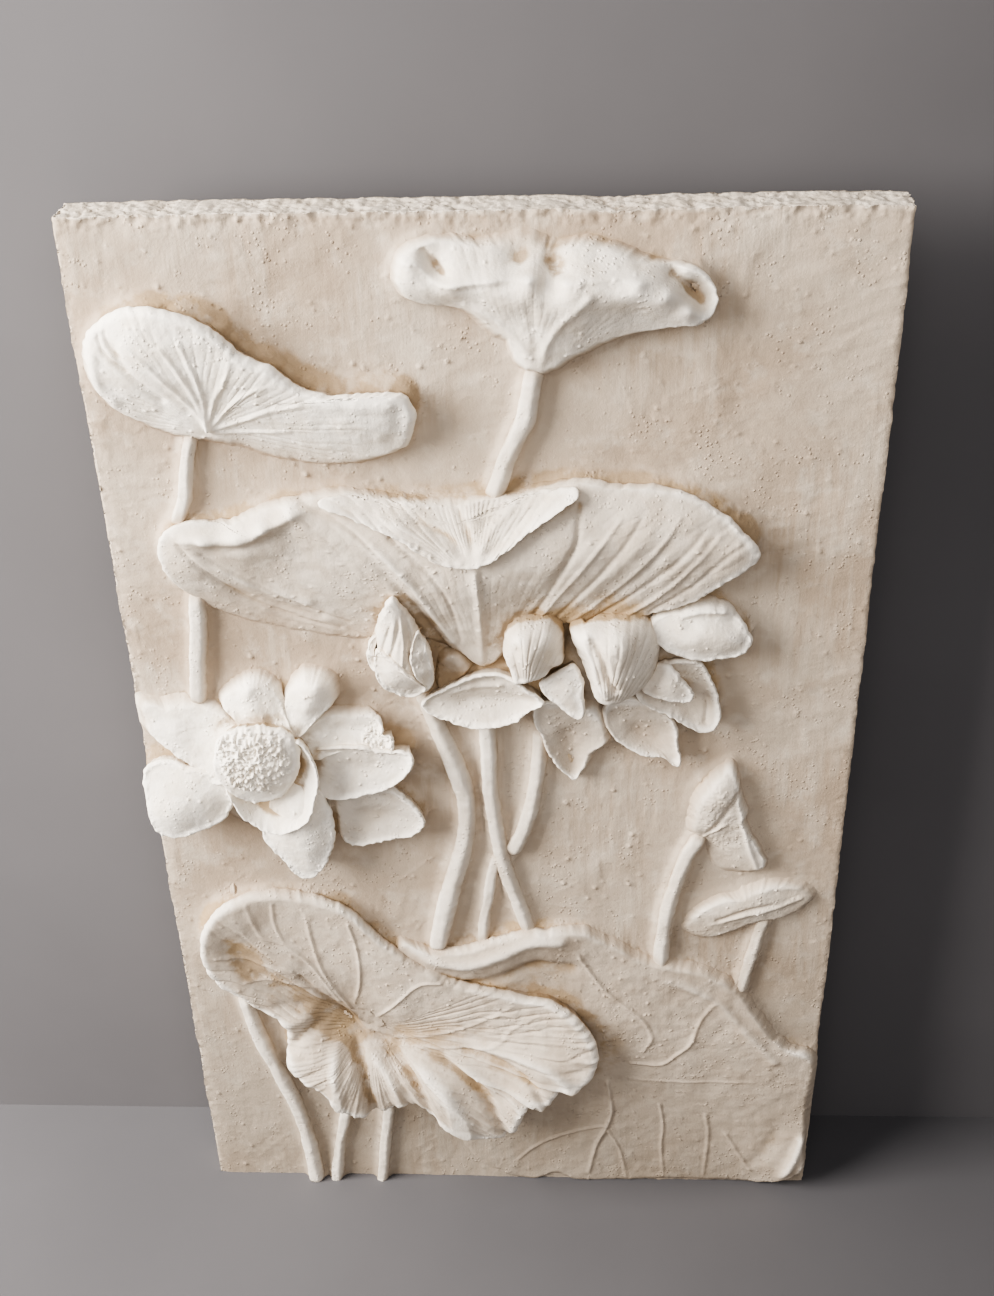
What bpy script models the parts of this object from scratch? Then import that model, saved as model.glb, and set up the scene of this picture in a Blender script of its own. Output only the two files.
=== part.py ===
"""Carved wall panel: lotus leaves, flowers, buds and stems in high relief on a plaster slab, cast as one piece.

Sizes are in millimetres: x to the right and z up from the middle of the back, heights out from the slab's front face.
The back lies in the plane y = 0, and the carved front faces -Y.
"""

import bmesh
import bpy
import numpy as np

MM = 0.001

# Driving sizes
PANEL_WIDE = 600.0
PANEL_HIGH = 1000.0
SLAB_THICK = 35.0
EDGE_WAVE = 1.5
SUNK = 6.0
RELIEF_DEEP = 48.0
RIM_ROUND = 3.0
UNDERCUT = 0.05
GRAIN = 2.6
MOST_TRIANGLES = 9300

# The size that the forms below are drawn at: width, height over the slab, height up the panel.
DRAWN = (600.0, 48.0, 1000.0)

# Forms of the relief. Each rim row and inside row holds x, z and the height there.
FORMS = {
    "leaf_a": dict(
        middle=(-183, 365),
        rim=[
            (-45, -34, 7), (-72, -22, 7), (-99, -4, 9), (-108, 19, 12), (-107, 40, 14), (-96, 58, 17),
            (-71, 73, 22), (-48, 75, 28), (-23, 69, 30), (-3, 58, 30), (13, 41, 30), (34, 31, 30),
            (51, 16, 29), (74, 9, 28), (103, 10, 28), (124, 9, 27), (133, -2, 26), (133, -18, 22),
            (124, -39, 14), (104, -51, 8), (73, -57, 5), (39, -55, 4), (9, -47, 4), (-16, -40, 6),
        ],
        inside=[
            (-84, 44, 22), (-94, 24, 18), (-64, 58, 28), (-40, 51, 30), (-17, 35, 29), (-80, 17, 20),
            (-55, 27, 26), (-61, -1, 16), (-36, -4, 17), (-22, -21, 12), (-5, 3, 20), (-7, 27, 28),
            (13, 19, 28), (22, -8, 20), (51, -5, 26), (84, -7, 28), (116, -9, 27), (8, -30, 9),
            (46, -36, 11), (80, -36, 14), (114, -33, 18),
        ],
    ),
    "leaf_b": dict(
        middle=(36, 448),
        rim=[
            (-99, 4, 10), (-96, 17, 12), (-88, 29, 12), (-74, 35, 11), (-58, 35, 8), (-41, 34, 8),
            (-21, 37, 7), (0, 40, 7), (21, 33, 8), (45, 34, 8), (65, 28, 9), (88, 18, 10),
            (107, 15, 13), (120, 10, 15), (130, -4, 17), (129, -15, 19), (120, -25, 20),
            (105, -28, 17), (84, -32, 14), (63, -40, 12), (45, -49, 11), (28, -58, 11), (10, -66, 12),
            (-9, -63, 10), (-18, -46, 8), (-31, -38, 7), (-44, -25, 7), (-59, -15, 7), (-78, -12, 8),
            (-91, -8, 9),
        ],
        inside=[
            (-84, 16, 22), (-73, 3, 22), (-56, 7, 28), (-27, 11, 30), (0, 13, 31), (24, 10, 32),
            (48, 10, 33), (75, 10, 33), (95, 2, 31), (111, -12, 26), (-65, 16, 8), (-54, 20, 12),
            (-35, 19, 14), (-7, 21, 12), (18, 13, 12), (48, 19, 15), (76, 15, 16), (98, 8, 9),
            (114, -4, 7), (123, -11, 8), (-42, -7, 20), (-7, -14, 27), (21, -21, 28), (48, -14, 29),
            (76, -9, 28), (98, -15, 25), (3, -41, 20), (24, -42, 18),
        ],
    ),
    "leaf_c": dict(
        middle=(-20, 242),
        rim=[
            (-237, 2, 15), (-228, 17, 17), (-207, 25, 16), (-185, 23, 14), (-161, 32, 14),
            (-141, 39, 13), (-121, 44, 13), (-90, 48, 12), (-53, 43, 12), (-15, 40, 12), (16, 43, 12),
            (46, 46, 12), (68, 52, 13), (91, 57, 14), (121, 52, 14), (151, 51, 14), (173, 46, 16),
            (192, 36, 19), (211, 21, 22), (228, 1, 25), (220, -13, 25), (204, -25, 24), (186, -41, 21),
            (169, -51, 18), (138, -61, 15), (99, -69, 12), (59, -82, 10), (33, -101, 11),
            (15, -113, 12), (-5, -101, 11), (-29, -93, 8), (-62, -94, 5), (-102, -89, 3),
            (-143, -82, 2), (-182, -70, 3), (-215, -53, 7), (-229, -35, 12), (-236, -15, 15),
        ],
        inside=[
            (-217, 6, 21), (-196, 13, 24), (-172, 17, 26), (-150, 25, 26), (-128, 38, 24),
            (-220, -17, 19), (-191, -6, 20), (-196, -34, 14), (-156, -6, 20), (-162, -48, 9),
            (-130, 13, 22), (-106, 27, 24), (-108, -4, 24), (-113, -45, 14), (-76, 7, 28),
            (-72, -32, 22), (-46, -9, 31), (-42, -51, 20), (-16, -26, 32), (-19, -66, 18),
            (11, -25, 33), (12, -70, 20), (29, -37, 28), (45, -8, 33), (52, -51, 20), (72, 14, 33),
            (76, -30, 26), (106, 31, 27), (106, -1, 31), (107, -42, 20), (136, 31, 27), (144, -1, 30),
            (145, -34, 22), (173, 27, 27), (182, -2, 29), (208, 5, 29), (128, 44, 19), (166, 39, 21),
        ],
    ),
    "drape": dict(
        middle=(-23, 268),
        rim=[
            (-103, 17, 22), (-87, 20, 15), (-50, 16, 13), (-12, 13, 13), (19, 16, 13), (49, 19, 14),
            (71, 25, 16), (89, 29, 22), (92, 24, 30), (76, 14, 35), (64, 6, 38), (53, -3, 40),
            (45, -10, 41), (34, -18, 42), (23, -25, 42), (12, -30, 42), (-3, -29, 41), (-16, -26, 40),
            (-27, -20, 38), (-38, -11, 36), (-49, -5, 34), (-64, 1, 32), (-79, 7, 29), (-93, 13, 26),
        ],
        inside=[
            (-72, 12, 22), (-42, 6, 26), (-19, -5, 30), (7, -12, 33), (34, -4, 32), (53, 7, 29),
            (72, 18, 26), (11, 4, 23), (-19, 7, 20), (41, 11, 21),
        ],
    ),
    "pod": dict(
        middle=(-197, 60),
        rim=[
            (-34, 0, 38), (-28, 17, 38), (-17, 25, 36), (0, 28, 35), (19, 27, 35), (33, 20, 36),
            (38, 5, 36), (37, -12, 36), (30, -31, 34), (17, -45, 33), (2, -51, 34), (-12, -49, 36),
            (-24, -39, 38), (-33, -21, 39),
        ],
        inside=[
            (0, 6, 44), (-20, 1, 43), (19, 9, 42), (2, 21, 42), (-8, -20, 44), (12, -18, 42),
            (26, -9, 40),
        ],
    ),
    "cup": dict(
        middle=(-193, 12),
        rim=[
            (32, 63, 34), (43, 50, 37), (48, 30, 39), (45, 7, 40), (36, -17, 40), (23, -27, 40),
            (9, -32, 40), (-8, -27, 39), (-21, -15, 37), (-30, 1, 35), (-34, 11, 26), (-20, 30, 24),
            (7, 46, 24),
        ],
        inside=[
            (30, 21, 26), (33, 37, 26), (25, 0, 26), (6, -12, 26), (-11, -12, 26), (-24, 0, 28),
            (37, 12, 34), (19, -18, 34), (-5, -20, 33),
        ],
    ),
    "bud": dict(
        middle=(-68, 159),
        rim=[
            (-7, 49, 34), (-19, 28, 26), (-22, 13, 24), (-23, -9, 22), (-24, -25, 22), (-22, -37, 21),
            (-12, -47, 20), (4, -51, 20), (18, -45, 21), (22, -31, 21), (21, -10, 22), (16, 7, 24),
            (5, 32, 28), (-1, 43, 32),
        ],
        inside=[
            (-7, 23, 35), (-4, 0, 36), (5, -6, 34), (-3, -26, 32), (12, -16, 30),
        ],
    ),
    "sepal_l": dict(
        middle=(-79, 142),
        rim=[
            (-12, 14, 24), (-3, 14, 31), (10, 6, 36), (21, -9, 34), (28, -22, 26), (15, -34, 20),
            (-1, -30, 20), (-11, -20, 22), (-15, -4, 22),
        ],
        inside=[
            (-2, -3, 34), (7, -12, 33),
        ],
    ),
    "sepal_r": dict(
        middle=(-54, 151),
        rim=[
            (-2, 26, 30), (-8, 12, 34), (-8, -5, 35), (-1, -21, 33), (3, -33, 24), (8, -24, 22),
            (8, -1, 24), (3, 15, 26),
        ],
        inside=[
            (0, 8, 35), (2, -9, 34),
        ],
    ),
    "sepal_s": dict(
        middle=(-93, 151),
        rim=[
            (4, 17, 22), (-3, 10, 18), (-7, -6, 16), (-4, -17, 18), (1, -17, 22), (4, -5, 22),
            (0, 4, 22),
        ],
        inside=[
            (-1, 0, 25),
        ],
    ),
    "boat": dict(
        middle=(-6, 102),
        rim=[
            (-49, 4, 18), (-36, 13, 20), (-22, 21, 21), (-9, 27, 21), (5, 30, 22), (20, 29, 24),
            (37, 16, 26), (49, 4, 26), (38, -5, 26), (27, -14, 26), (16, -19, 26), (-3, -23, 25),
            (-23, -20, 22), (-40, -14, 19), (-52, -6, 17),
        ],
        inside=[
            (-12, 2, 17), (13, 4, 18), (33, -1, 21), (-29, -4, 16),
        ],
    ),
    "curl_1": dict(
        middle=(35, 168),
        rim=[
            (-11, 16, 26), (-18, 11, 28), (-23, 1, 29), (-25, -16, 30), (-19, -31, 33), (-15, -41, 35),
            (-3, -37, 37), (7, -34, 36), (15, -27, 32), (23, -25, 28), (24, -11, 25), (23, 6, 22),
            (14, 16, 22), (1, 18, 24),
        ],
        inside=[
            (-12, 8, 40), (-11, -14, 43), (-1, -20, 43), (1, 4, 42), (13, -9, 36), (11, 8, 34),
        ],
    ),
    "curl_2": dict(
        middle=(102, 161),
        rim=[
            (-39, 14, 24), (-28, 19, 24), (-12, 23, 24), (6, 24, 22), (22, 19, 20), (31, 8, 20),
            (33, -9, 22), (30, -27, 25), (20, -41, 30), (5, -49, 36), (-7, -52, 38), (-18, -48, 37),
            (-24, -32, 34), (-29, -18, 30), (-35, -4, 26),
        ],
        inside=[
            (-23, 13, 38), (-15, -5, 45), (-10, -28, 46), (0, 16, 42), (4, -9, 46), (16, 3, 36),
            (16, -19, 38), (1, -34, 44), (-27, 18, 34),
        ],
    ),
    "wedge": dict(
        middle=(59, 119),
        rim=[
            (-20, 5, 24), (-8, 15, 26), (4, 21, 28), (8, 6, 31), (15, -9, 32), (16, -21, 31),
            (12, -28, 30), (5, -25, 29), (-6, -15, 26), (-16, -7, 24),
        ],
        inside=[
            (1, -5, 32), (6, 5, 33),
        ],
    ),
    "petal_ur": dict(
        middle=(169, 173),
        rim=[
            (-35, 7, 16), (-20, 15, 14), (-3, 20, 13), (12, 19, 13), (24, 12, 14), (34, -3, 17),
            (38, -14, 19), (30, -24, 20), (14, -28, 21), (-2, -29, 22), (-19, -20, 22), (-32, -7, 20),
        ],
        inside=[
            (-4, 10, 22), (13, 10, 20), (8, -7, 27), (-12, -6, 27), (26, -7, 25),
        ],
    ),
    "petal_r": dict(
        middle=(157, 101),
        rim=[
            (8, 39, 16), (20, 22, 16), (26, 6, 17), (29, -11, 18), (26, -25, 19), (16, -29, 20),
            (2, -22, 20), (-12, -13, 20), (-30, -3, 20), (-37, 11, 20), (-22, 31, 18),
        ],
        inside=[
            (8, -1, 12), (-4, 0, 13), (12, -13, 15), (-17, 2, 16),
        ],
    ),
    "petal_in": dict(
        middle=(143, 125),
        rim=[
            (-12, 7, 22), (1, 14, 22), (11, 2, 25), (19, -7, 27), (19, -11, 28), (13, -17, 28),
            (-5, -15, 27), (-20, -8, 26),
        ],
        inside=[
            (1, 2, 30), (8, -5, 30), (-8, 1, 28),
        ],
    ),
    "petal_d1": dict(
        middle=(67, 51),
        rim=[
            (-34, 43, 18), (-22, 48, 18), (0, 40, 16), (17, 33, 14), (25, 20, 13), (29, 5, 12),
            (21, -3, 12), (15, -10, 12), (8, -23, 13), (1, -33, 14), (-5, -30, 14), (-15, -18, 14),
            (-24, -1, 14), (-28, 15, 14), (-34, 29, 15),
        ],
        inside=[
            (-4, 0, 7), (-2, -20, 8), (13, 11, 8), (-16, 13, 11), (-12, 31, 14),
        ],
    ),
    "petal_d2": dict(
        middle=(125, 66),
        rim=[
            (-34, 12, 14), (-27, -2, 14), (-19, -11, 14), (-2, -20, 15), (15, -23, 15), (28, -30, 16),
            (30, -23, 16), (28, -8, 15), (25, 13, 15), (9, 25, 16), (-11, 32, 17), (-29, 28, 17),
        ],
        inside=[
            (-4, -3, 9), (13, -7, 10), (-16, 6, 11), (14, 9, 11),
        ],
    ),
    "leaf_g": dict(
        middle=(193, -24),
        rim=[
            (6, 57, 11), (12, 43, 12), (16, 23, 13), (22, 8, 13), (22, -6, 13), (29, -23, 13),
            (37, -38, 12), (41, -59, 11), (27, -68, 5), (4, -67, 2), (-9, -48, 2), (-14, -32, 3),
            (-28, -22, 6), (-29, -1, 8), (-26, 19, 9), (-17, 36, 10), (-4, 50, 11),
        ],
        inside=[
            (-10, 26, 17), (-2, 36, 17), (5, 7, 14), (12, -21, 12), (-14, -4, 13), (22, -45, 10),
        ],
    ),
    "leaf_h": dict(
        middle=(223, -123),
        rim=[
            (-60, -36, 4), (-51, -15, 7), (-36, 1, 9), (-18, 10, 9), (0, 21, 9), (25, 25, 8),
            (48, 21, 7), (60, 10, 6), (55, -2, 6), (43, -14, 6), (26, -22, 7), (4, -29, 7),
            (-20, -38, 6), (-42, -46, 4),
        ],
        inside=[
            (-13, -3, 11), (8, 9, 11), (30, 10, 9), (-35, -17, 9),
        ],
    ),
    "leaf_i": dict(
        middle=(101, -322),
        rim=[
            (-199, 151, 10), (-179, 147, 12), (-166, 143, 13), (-147, 145, 14), (-129, 149, 14),
            (-110, 158, 15), (-92, 165, 15), (-77, 170, 15), (-60, 170, 15), (-45, 172, 14),
            (-27, 170, 13), (-9, 160, 12), (9, 149, 12), (28, 136, 12), (48, 131, 12), (81, 123, 12),
            (100, 113, 12), (120, 97, 12), (136, 70, 12), (153, 42, 12), (172, 21, 12), (197, 4, 12),
            (198, -63, 9), (196, -118, 12), (196, -148, 14), (179, -169, 12), (159, -178, 8),
            (135, -178, 4), (95, -179, 3), (44, -180, 3), (-25, -184, 4), (-53, -172, 4),
            (-84, -183, 3), (-120, -167, 2), (-144, -137, 2), (-167, -78, 2), (-201, 21, 4),
            (-201, 98, 8),
        ],
        inside=[
            (-166, 134, 15), (-139, 128, 16), (-120, 129, 16), (-97, 141, 17), (-74, 156, 17),
            (-51, 158, 16), (-159, 98, 8), (-122, 92, 8), (-75, 125, 9), (-38, 127, 10), (-1, 103, 11),
            (28, 58, 11), (64, 84, 10), (103, 46, 11), (154, -13, 11), (126, -35, 10), (77, -9, 10),
            (30, -23, 10), (-8, -70, 7), (51, -97, 7), (111, -111, 7), (159, -93, 9), (-58, -133, 4),
            (13, -146, 4), (93, -151, 5), (174, -132, 13), (-105, -2, 6), (-48, -73, 5),
            (-138, -91, 3),
        ],
    ),
    "leaf_j": dict(
        middle=(-126, -278),
        rim=[
            (-101, 165, 15), (-81, 168, 14), (-54, 166, 14), (-30, 160, 15), (-8, 147, 16),
            (12, 122, 17), (28, 105, 18), (44, 91, 19), (66, 77, 20), (93, 62, 20), (122, 55, 20),
            (149, 46, 21), (173, 42, 23), (192, 30, 26), (206, 14, 29), (215, -5, 33), (216, -23, 36),
            (209, -40, 39), (198, -51, 41), (184, -47, 42), (176, -60, 44), (166, -72, 46),
            (157, -65, 47), (146, -82, 46), (139, -105, 43), (127, -120, 38), (111, -123, 38),
            (97, -118, 42), (78, -108, 48), (61, -95, 47), (46, -82, 41), (27, -84, 36), (5, -92, 38),
            (-16, -91, 44), (-33, -78, 47), (-50, -61, 44), (-69, -48, 38), (-81, -32, 33),
            (-80, -12, 29), (-79, 7, 25), (-90, 23, 23), (-108, 34, 23), (-120, 50, 25),
            (-135, 64, 26), (-146, 85, 27), (-149, 107, 27), (-143, 131, 26), (-131, 149, 23),
            (-116, 159, 19),
        ],
        inside=[
            (-133, 121, 22), (-126, 101, 20), (-109, 136, 18), (-91, 138, 13), (-65, 130, 11),
            (-105, 92, 17), (-89, 64, 20), (-68, 94, 12), (-38, 125, 12), (-42, 81, 11), (-62, 63, 12),
            (-98, 46, 22), (-37, 33, 8), (-24, 13, 7), (-9, -7, 7), (27, -18, 9), (-13, 89, 13),
            (13, 59, 14), (49, 36, 16), (29, 20, 13), (86, 22, 18), (124, 22, 20), (161, 20, 24),
            (189, 1, 31), (-55, 29, 17), (-66, -6, 28), (-47, -20, 33), (-24, -39, 40), (-7, -56, 37),
            (12, -53, 33), (37, -51, 35), (61, -62, 43), (84, -71, 41), (108, -63, 35), (127, -63, 35),
            (146, -54, 42), (75, -28, 24), (113, -25, 26), (152, -17, 33), (27, -31, 22),
            (-11, -25, 22), (-34, -7, 20), (66, -5, 14), (104, -6, 19), (194, -31, 38), (170, -35, 41),
        ],
    ),
    "petal_lower": dict(
        middle=(-166, -19),
        rim=[
            (-36, -14, 24), (-21, -37, 28), (-11, -52, 30), (1, -59, 30), (15, -48, 30), (26, -21, 28),
            (28, -2, 26), (25, 19, 25), (17, 35, 24), (-7, 35, 24), (-28, 11, 24),
        ],
        inside=[
            (7, -19, 37), (6, 7, 36), (2, 25, 32),
        ],
    ),
    "petal_lower_left": dict(
        middle=(-260, 16),
        rim=[
            (34, -3, 28), (33, -20, 28), (26, -30, 30), (13, -37, 32), (-3, -43, 34), (-17, -46, 34),
            (-31, -40, 33), (-36, -26, 31), (-37, -8, 28), (-38, 9, 24), (-35, 20, 20), (-24, 25, 19),
            (-10, 26, 20), (2, 22, 24), (15, 15, 27), (25, 6, 28),
        ],
        inside=[
            (-15, -15, 39), (-22, 0, 32), (-1, -2, 35), (15, -8, 34), (-9, 15, 27), (-28, -15, 35),
        ],
    ),
    "petal_left": dict(
        middle=(-257, 71),
        rim=[
            (-41, 22, 6), (-21, 23, 8), (-12, 27, 9), (4, 28, 10), (19, 24, 12), (34, 17, 15),
            (48, 7, 20), (38, -12, 26), (23, -44, 28), (12, -41, 25), (-2, -31, 21), (-13, -23, 18),
            (-24, -14, 15), (-36, -7, 11), (-41, 4, 8),
        ],
        inside=[
            (-21, 9, 13), (-11, -2, 19), (1, 14, 13), (12, -3, 17), (25, -10, 21), (-29, 15, 9),
        ],
    ),
    "petal_upper_left": dict(
        middle=(-193, 105),
        rim=[
            (-35, -7, 11), (-31, 1, 10), (-21, 12, 8), (-7, 20, 8), (5, 19, 9), (14, 12, 11),
            (20, 0, 14), (23, -12, 17), (27, -20, 21), (29, -29, 26), (9, -28, 26), (-9, -26, 24),
            (-25, -15, 18),
        ],
        inside=[
            (-6, 10, 19), (5, 1, 21), (-14, -5, 20), (7, -14, 25),
        ],
    ),
    "petal_upper_right": dict(
        middle=(-148, 110),
        rim=[
            (-14, -33, 24), (-19, -18, 18), (-22, -6, 14), (-21, 4, 10), (-14, 14, 8), (-4, 20, 7),
            (8, 18, 8), (18, 13, 9), (22, 4, 10), (21, -7, 12), (15, -15, 15), (7, -21, 18),
            (-1, -28, 21), (-8, -35, 23),
        ],
        inside=[
            (-7, 5, 19), (7, 11, 20), (9, -4, 21), (-4, -12, 23),
        ],
    ),
    "petal_right_upper": dict(
        middle=(-119, 70),
        rim=[
            (-36, 0, 22), (-28, 10, 16), (-18, 17, 13), (-8, 18, 11), (8, 17, 11), (19, 15, 13),
            (27, 9, 15), (29, 3, 17), (26, -3, 18), (34, -1, 19), (37, -8, 20), (35, -17, 20),
            (24, -15, 20), (7, -15, 20), (-9, -17, 20), (-25, -21, 21),
        ],
        inside=[
            (-8, 1, 14), (8, 3, 14), (-21, -8, 18),
        ],
    ),
    "petal_right_mid": dict(
        middle=(-111, 34),
        rim=[
            (-32, 17, 20), (-18, 23, 21), (1, 26, 22), (20, 22, 23), (35, 23, 25), (43, 20, 27),
            (44, 10, 28), (37, -2, 28), (28, -11, 28), (14, -18, 27), (-2, -24, 26), (-20, -28, 25),
            (-31, -27, 24), (-34, -10, 22),
        ],
        inside=[
            (-14, 0, 23), (7, 3, 24), (26, 10, 26), (8, -10, 26),
        ],
    ),
    "petal_right_lower": dict(
        middle=(-102, -24),
        rim=[
            (-33, 19, 12), (-13, 27, 13), (12, 33, 14), (23, 27, 15), (34, 16, 17), (41, 2, 19),
            (38, -6, 19), (28, -15, 18), (10, -20, 17), (-10, -26, 16), (-27, -27, 15), (-34, -18, 14),
            (-36, -2, 12),
        ],
        inside=[
            (-16, -1, 12), (6, 5, 13), (24, 2, 16),
        ],
    ),
}
STEMS = {
    "a": ((10, 10), [(-220, 333), (-224, 320), (-228, 300), (-232, 281), (-240, 262)]),
    "b": ((14, 12), [(38, 384), (34, 364), (31, 348), (24, 332), (17, 316), (12, 301), (6, 284)]),
    "c_to_d": ((13, 11), [(-233, 196), (-236, 166), (-240, 138), (-245, 96)]),
    "bud": ((16, 12), [(-56, 103), (-48, 74), (-36, 36), (-27, -1), (-26, -28), (-28, -50), (-33, -73), (-42, -105), (-50, -138), (-58, -177)]),
    "mid": ((13, 11), [(-6, 71), (-5, 38), (-5, 6), (-2, -26), (2, -60), (8, -92), (17, -123), (28, -163)]),
    "fork": ((10, 8), [(0, -71), (-6, -94), (-10, -120), (-14, -146), (-16, -178)]),
    "hook": ((13, 10), [(39, 63), (37, 32), (33, 0), (29, -21), (22, -44), (13, -64)]),
    "g": ((13, 10), [(175, -49), (166, -68), (159, -93), (153, -119), (149, -143), (147, -171), (146, -204)]),
    "h": ((12, 8), [(237, -143), (233, -165), (229, -187), (225, -208), (221, -230)]),
    "j_left": ((14, 11), [(-244, -246), (-234, -302), (-219, -352), (-207, -400), (-200, -450), (-197, -514)]),
    "j_mid": ((11, 9), [(-159, -398), (-169, -447), (-179, -516)]),
    "j_right": ((11, 9), [(-116, -394), (-123, -446), (-131, -515)]),
}
LINES = [
    ("leaf_a", 3.0, 2.2, [(-22, -21), (-32, 0), (-47, 21), (-60, 37), (-72, 49)]),
    ("leaf_a", 3.0, 2.2, [(-22, -21), (-27, 7), (-35, 30), (-45, 47)]),
    ("leaf_a", 2.6, 2.0, [(-22, -21), (-21, 7), (-25, 33), (-30, 51)]),
    ("leaf_a", 2.6, 2.0, [(-21, -21), (-13, 3), (-2, 21), (4, 36)]),
    ("leaf_a", 2.6, 1.8, [(-20, -22), (-3, -3), (12, 10), (27, 17)]),
    ("leaf_a", 2.6, 1.8, [(-19, -23), (4, -15), (28, -4), (51, 2)]),
    ("leaf_a", 2.6, 1.6, [(-19, -25), (9, -25), (40, -23)]),
    ("leaf_a", 2.0, -1.8, [(-91, 54), (-89, 44), (-82, 34), (-74, 28)]),
    ("leaf_a", 2.0, -1.5, [(-85, 57), (-83, 46), (-75, 37)]),
    ("leaf_b", 4.0, 5.0, [(-91, 21), (-81, 22), (-74, 16), (-68, 10), (-59, 8), (-34, 10), (-17, 13), (7, 13), (21, 10), (48, 13), (79, 11), (93, 6), (100, 0), (108, -8), (116, -17), (122, -20)]),
    ("leaf_b", 4.0, -4.0, [(-74, 27), (-68, 19), (-63, 13), (-58, 11)]),
    ("leaf_b", 3.0, -3.0, [(14, 18), (22, 15), (30, 14)]),
    ("leaf_b", 4.0, -5.0, [(98, 7), (110, 1), (118, -9), (123, -15)]),
    ("leaf_c", 5.0, 3.0, [(-198, 13), (-184, 10), (-168, 13), (-158, 17), (-149, 24), (-138, 29), (-126, 36), (-110, 39)]),
    ("leaf_c", 2.5, -2.2, [(-218, 7), (-204, -13), (-177, -43), (-140, -64), (-101, -76)]),
    ("leaf_c", 2.2, -1.6, [(-201, -1), (-174, -22), (-131, -52), (-92, -69)]),
    ("leaf_c", 2.6, -2.0, [(-121, 42), (-83, 22), (-47, -18), (-20, -72), (0, -105)]),
    ("leaf_c", 2.4, -1.6, [(-53, 16), (-16, -26), (-3, -84)]),
    ("leaf_c", 4.0, 3.0, [(11, -11), (13, -47), (13, -102)]),
    ("leaf_c", 2.8, -2.6, [(91, 41), (89, 17), (82, -1), (64, -40), (40, -83)]),
    ("leaf_c", 2.2, 1.8, [(52, -74), (72, -41), (99, 0), (122, 32)]),
    ("leaf_c", 2.2, -1.6, [(64, -73), (87, -42), (117, -1), (137, 31)]),
    ("leaf_c", 2.2, 1.6, [(83, -67), (114, -37), (144, -1), (166, 31)]),
    ("leaf_c", 2.2, -1.5, [(99, -65), (130, -39), (163, -6), (185, 21)]),
    ("leaf_c", 2.4, 1.8, [(127, -60), (153, -38), (178, -7), (197, 18)]),
    ("leaf_c", 2.4, -1.6, [(146, -56), (176, -30), (200, -2), (215, 9)]),
    ("leaf_i", 2.4, 1.8, [(-29, 137), (-18, 116), (-5, 95), (13, 76), (29, 60), (37, 44), (39, 31), (32, 16)]),
    ("leaf_i", 2.4, 1.6, [(21, 0), (48, -1), (63, 11), (76, 27), (84, 56), (97, 81)]),
    ("leaf_i", 2.0, 0.8, [(20, -22), (78, -25), (140, -25)]),
    ("leaf_i", 2.6, 2.2, [(-2, -28), (3, -66), (-2, -94), (-12, -125), (-19, -165)]),
    ("leaf_i", 2.0, 1.4, [(-3, -92), (-43, -108), (-71, -126), (-91, -149)]),
    ("leaf_i", 2.0, 1.4, [(0, -100), (12, -130), (19, -171)]),
    ("leaf_i", 2.0, 1.4, [(50, -59), (54, -90), (53, -122), (57, -169)]),
    ("leaf_i", 2.0, 1.4, [(95, -73), (99, -105), (97, -167)]),
    ("leaf_i", 2.0, 1.4, [(116, -100), (132, -133), (143, -154)]),
    ("leaf_j", 2.6, 1.6, [(-19, 20), (-38, 66), (-46, 105), (-50, 147)]),
    ("leaf_j", 2.6, 1.6, [(-28, 31), (-50, 80), (-71, 105), (-91, 117), (-98, 138), (-102, 156)]),
    ("leaf_j", 2.2, 1.2, [(22, -16), (66, -4), (101, 14), (134, 38)]),
    ("leaf_j", 2.2, 1.2, [(27, -21), (94, -15), (123, -6), (134, 11), (161, 30)]),
    ("leaf_j", 3.0, -3.0, [(-62, 66), (-37, 32), (-23, 12), (-9, -8), (27, -19)]),
    ("leaf_j", 2.2, -1.4, [(0, -10), (25, -26), (48, -43), (65, -76)]),
    ("leaf_g", 2.0, 2.0, [(-38, -25), (-28, -21), (-17, -24), (-7, -13), (4, -4)]),
    ("leaf_h", 3.0, -2.0, [(-27, -18), (-4, -5), (19, 2)]),
]


def smooth_loop(rows, count, closed=True):
    """Points evenly spaced along a soft curve through the rows."""
    rows = np.array(rows, float)
    steps = np.linspace(0.0, 1.0, 14, endpoint=False)[:, None]
    pieces = []
    last = len(rows) if closed else len(rows) - 1
    for i in range(last):
        if closed:
            a, b, c, d = (rows[(i + k) % len(rows)] for k in (-1, 0, 1, 2))
        else:
            a, b, c, d = (rows[min(max(i + k, 0), len(rows) - 1)] for k in (-1, 0, 1, 2))
        cubic = 2 * b + (c - a) * steps + (2 * a - 5 * b + 4 * c - d) * steps**2
        pieces.append(0.5 * (cubic + (3 * b - a - 3 * c + d) * steps**3))
    pieces.append(rows[:1] if closed else rows[-1:])
    line = np.concatenate(pieces)
    run = np.concatenate([[0.0], np.cumsum(np.hypot(*np.diff(line[:, :2], axis=0).T))])
    at = np.linspace(0.0, run[-1], count, endpoint=not closed)
    return np.column_stack([np.interp(at, run, column) for column in line.T])


def placed(name, rows):
    """A form's rows, moved from its middle to their places on the panel."""
    x, z = FORMS[name]["middle"]
    return [(x + row[0], z + row[1], *row[2:]) for row in rows]


def bending(squares):
    """The thin plate's bending term for squared distances."""
    return 0.5 * squares * np.log(np.maximum(squares, 1e-12))


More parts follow.
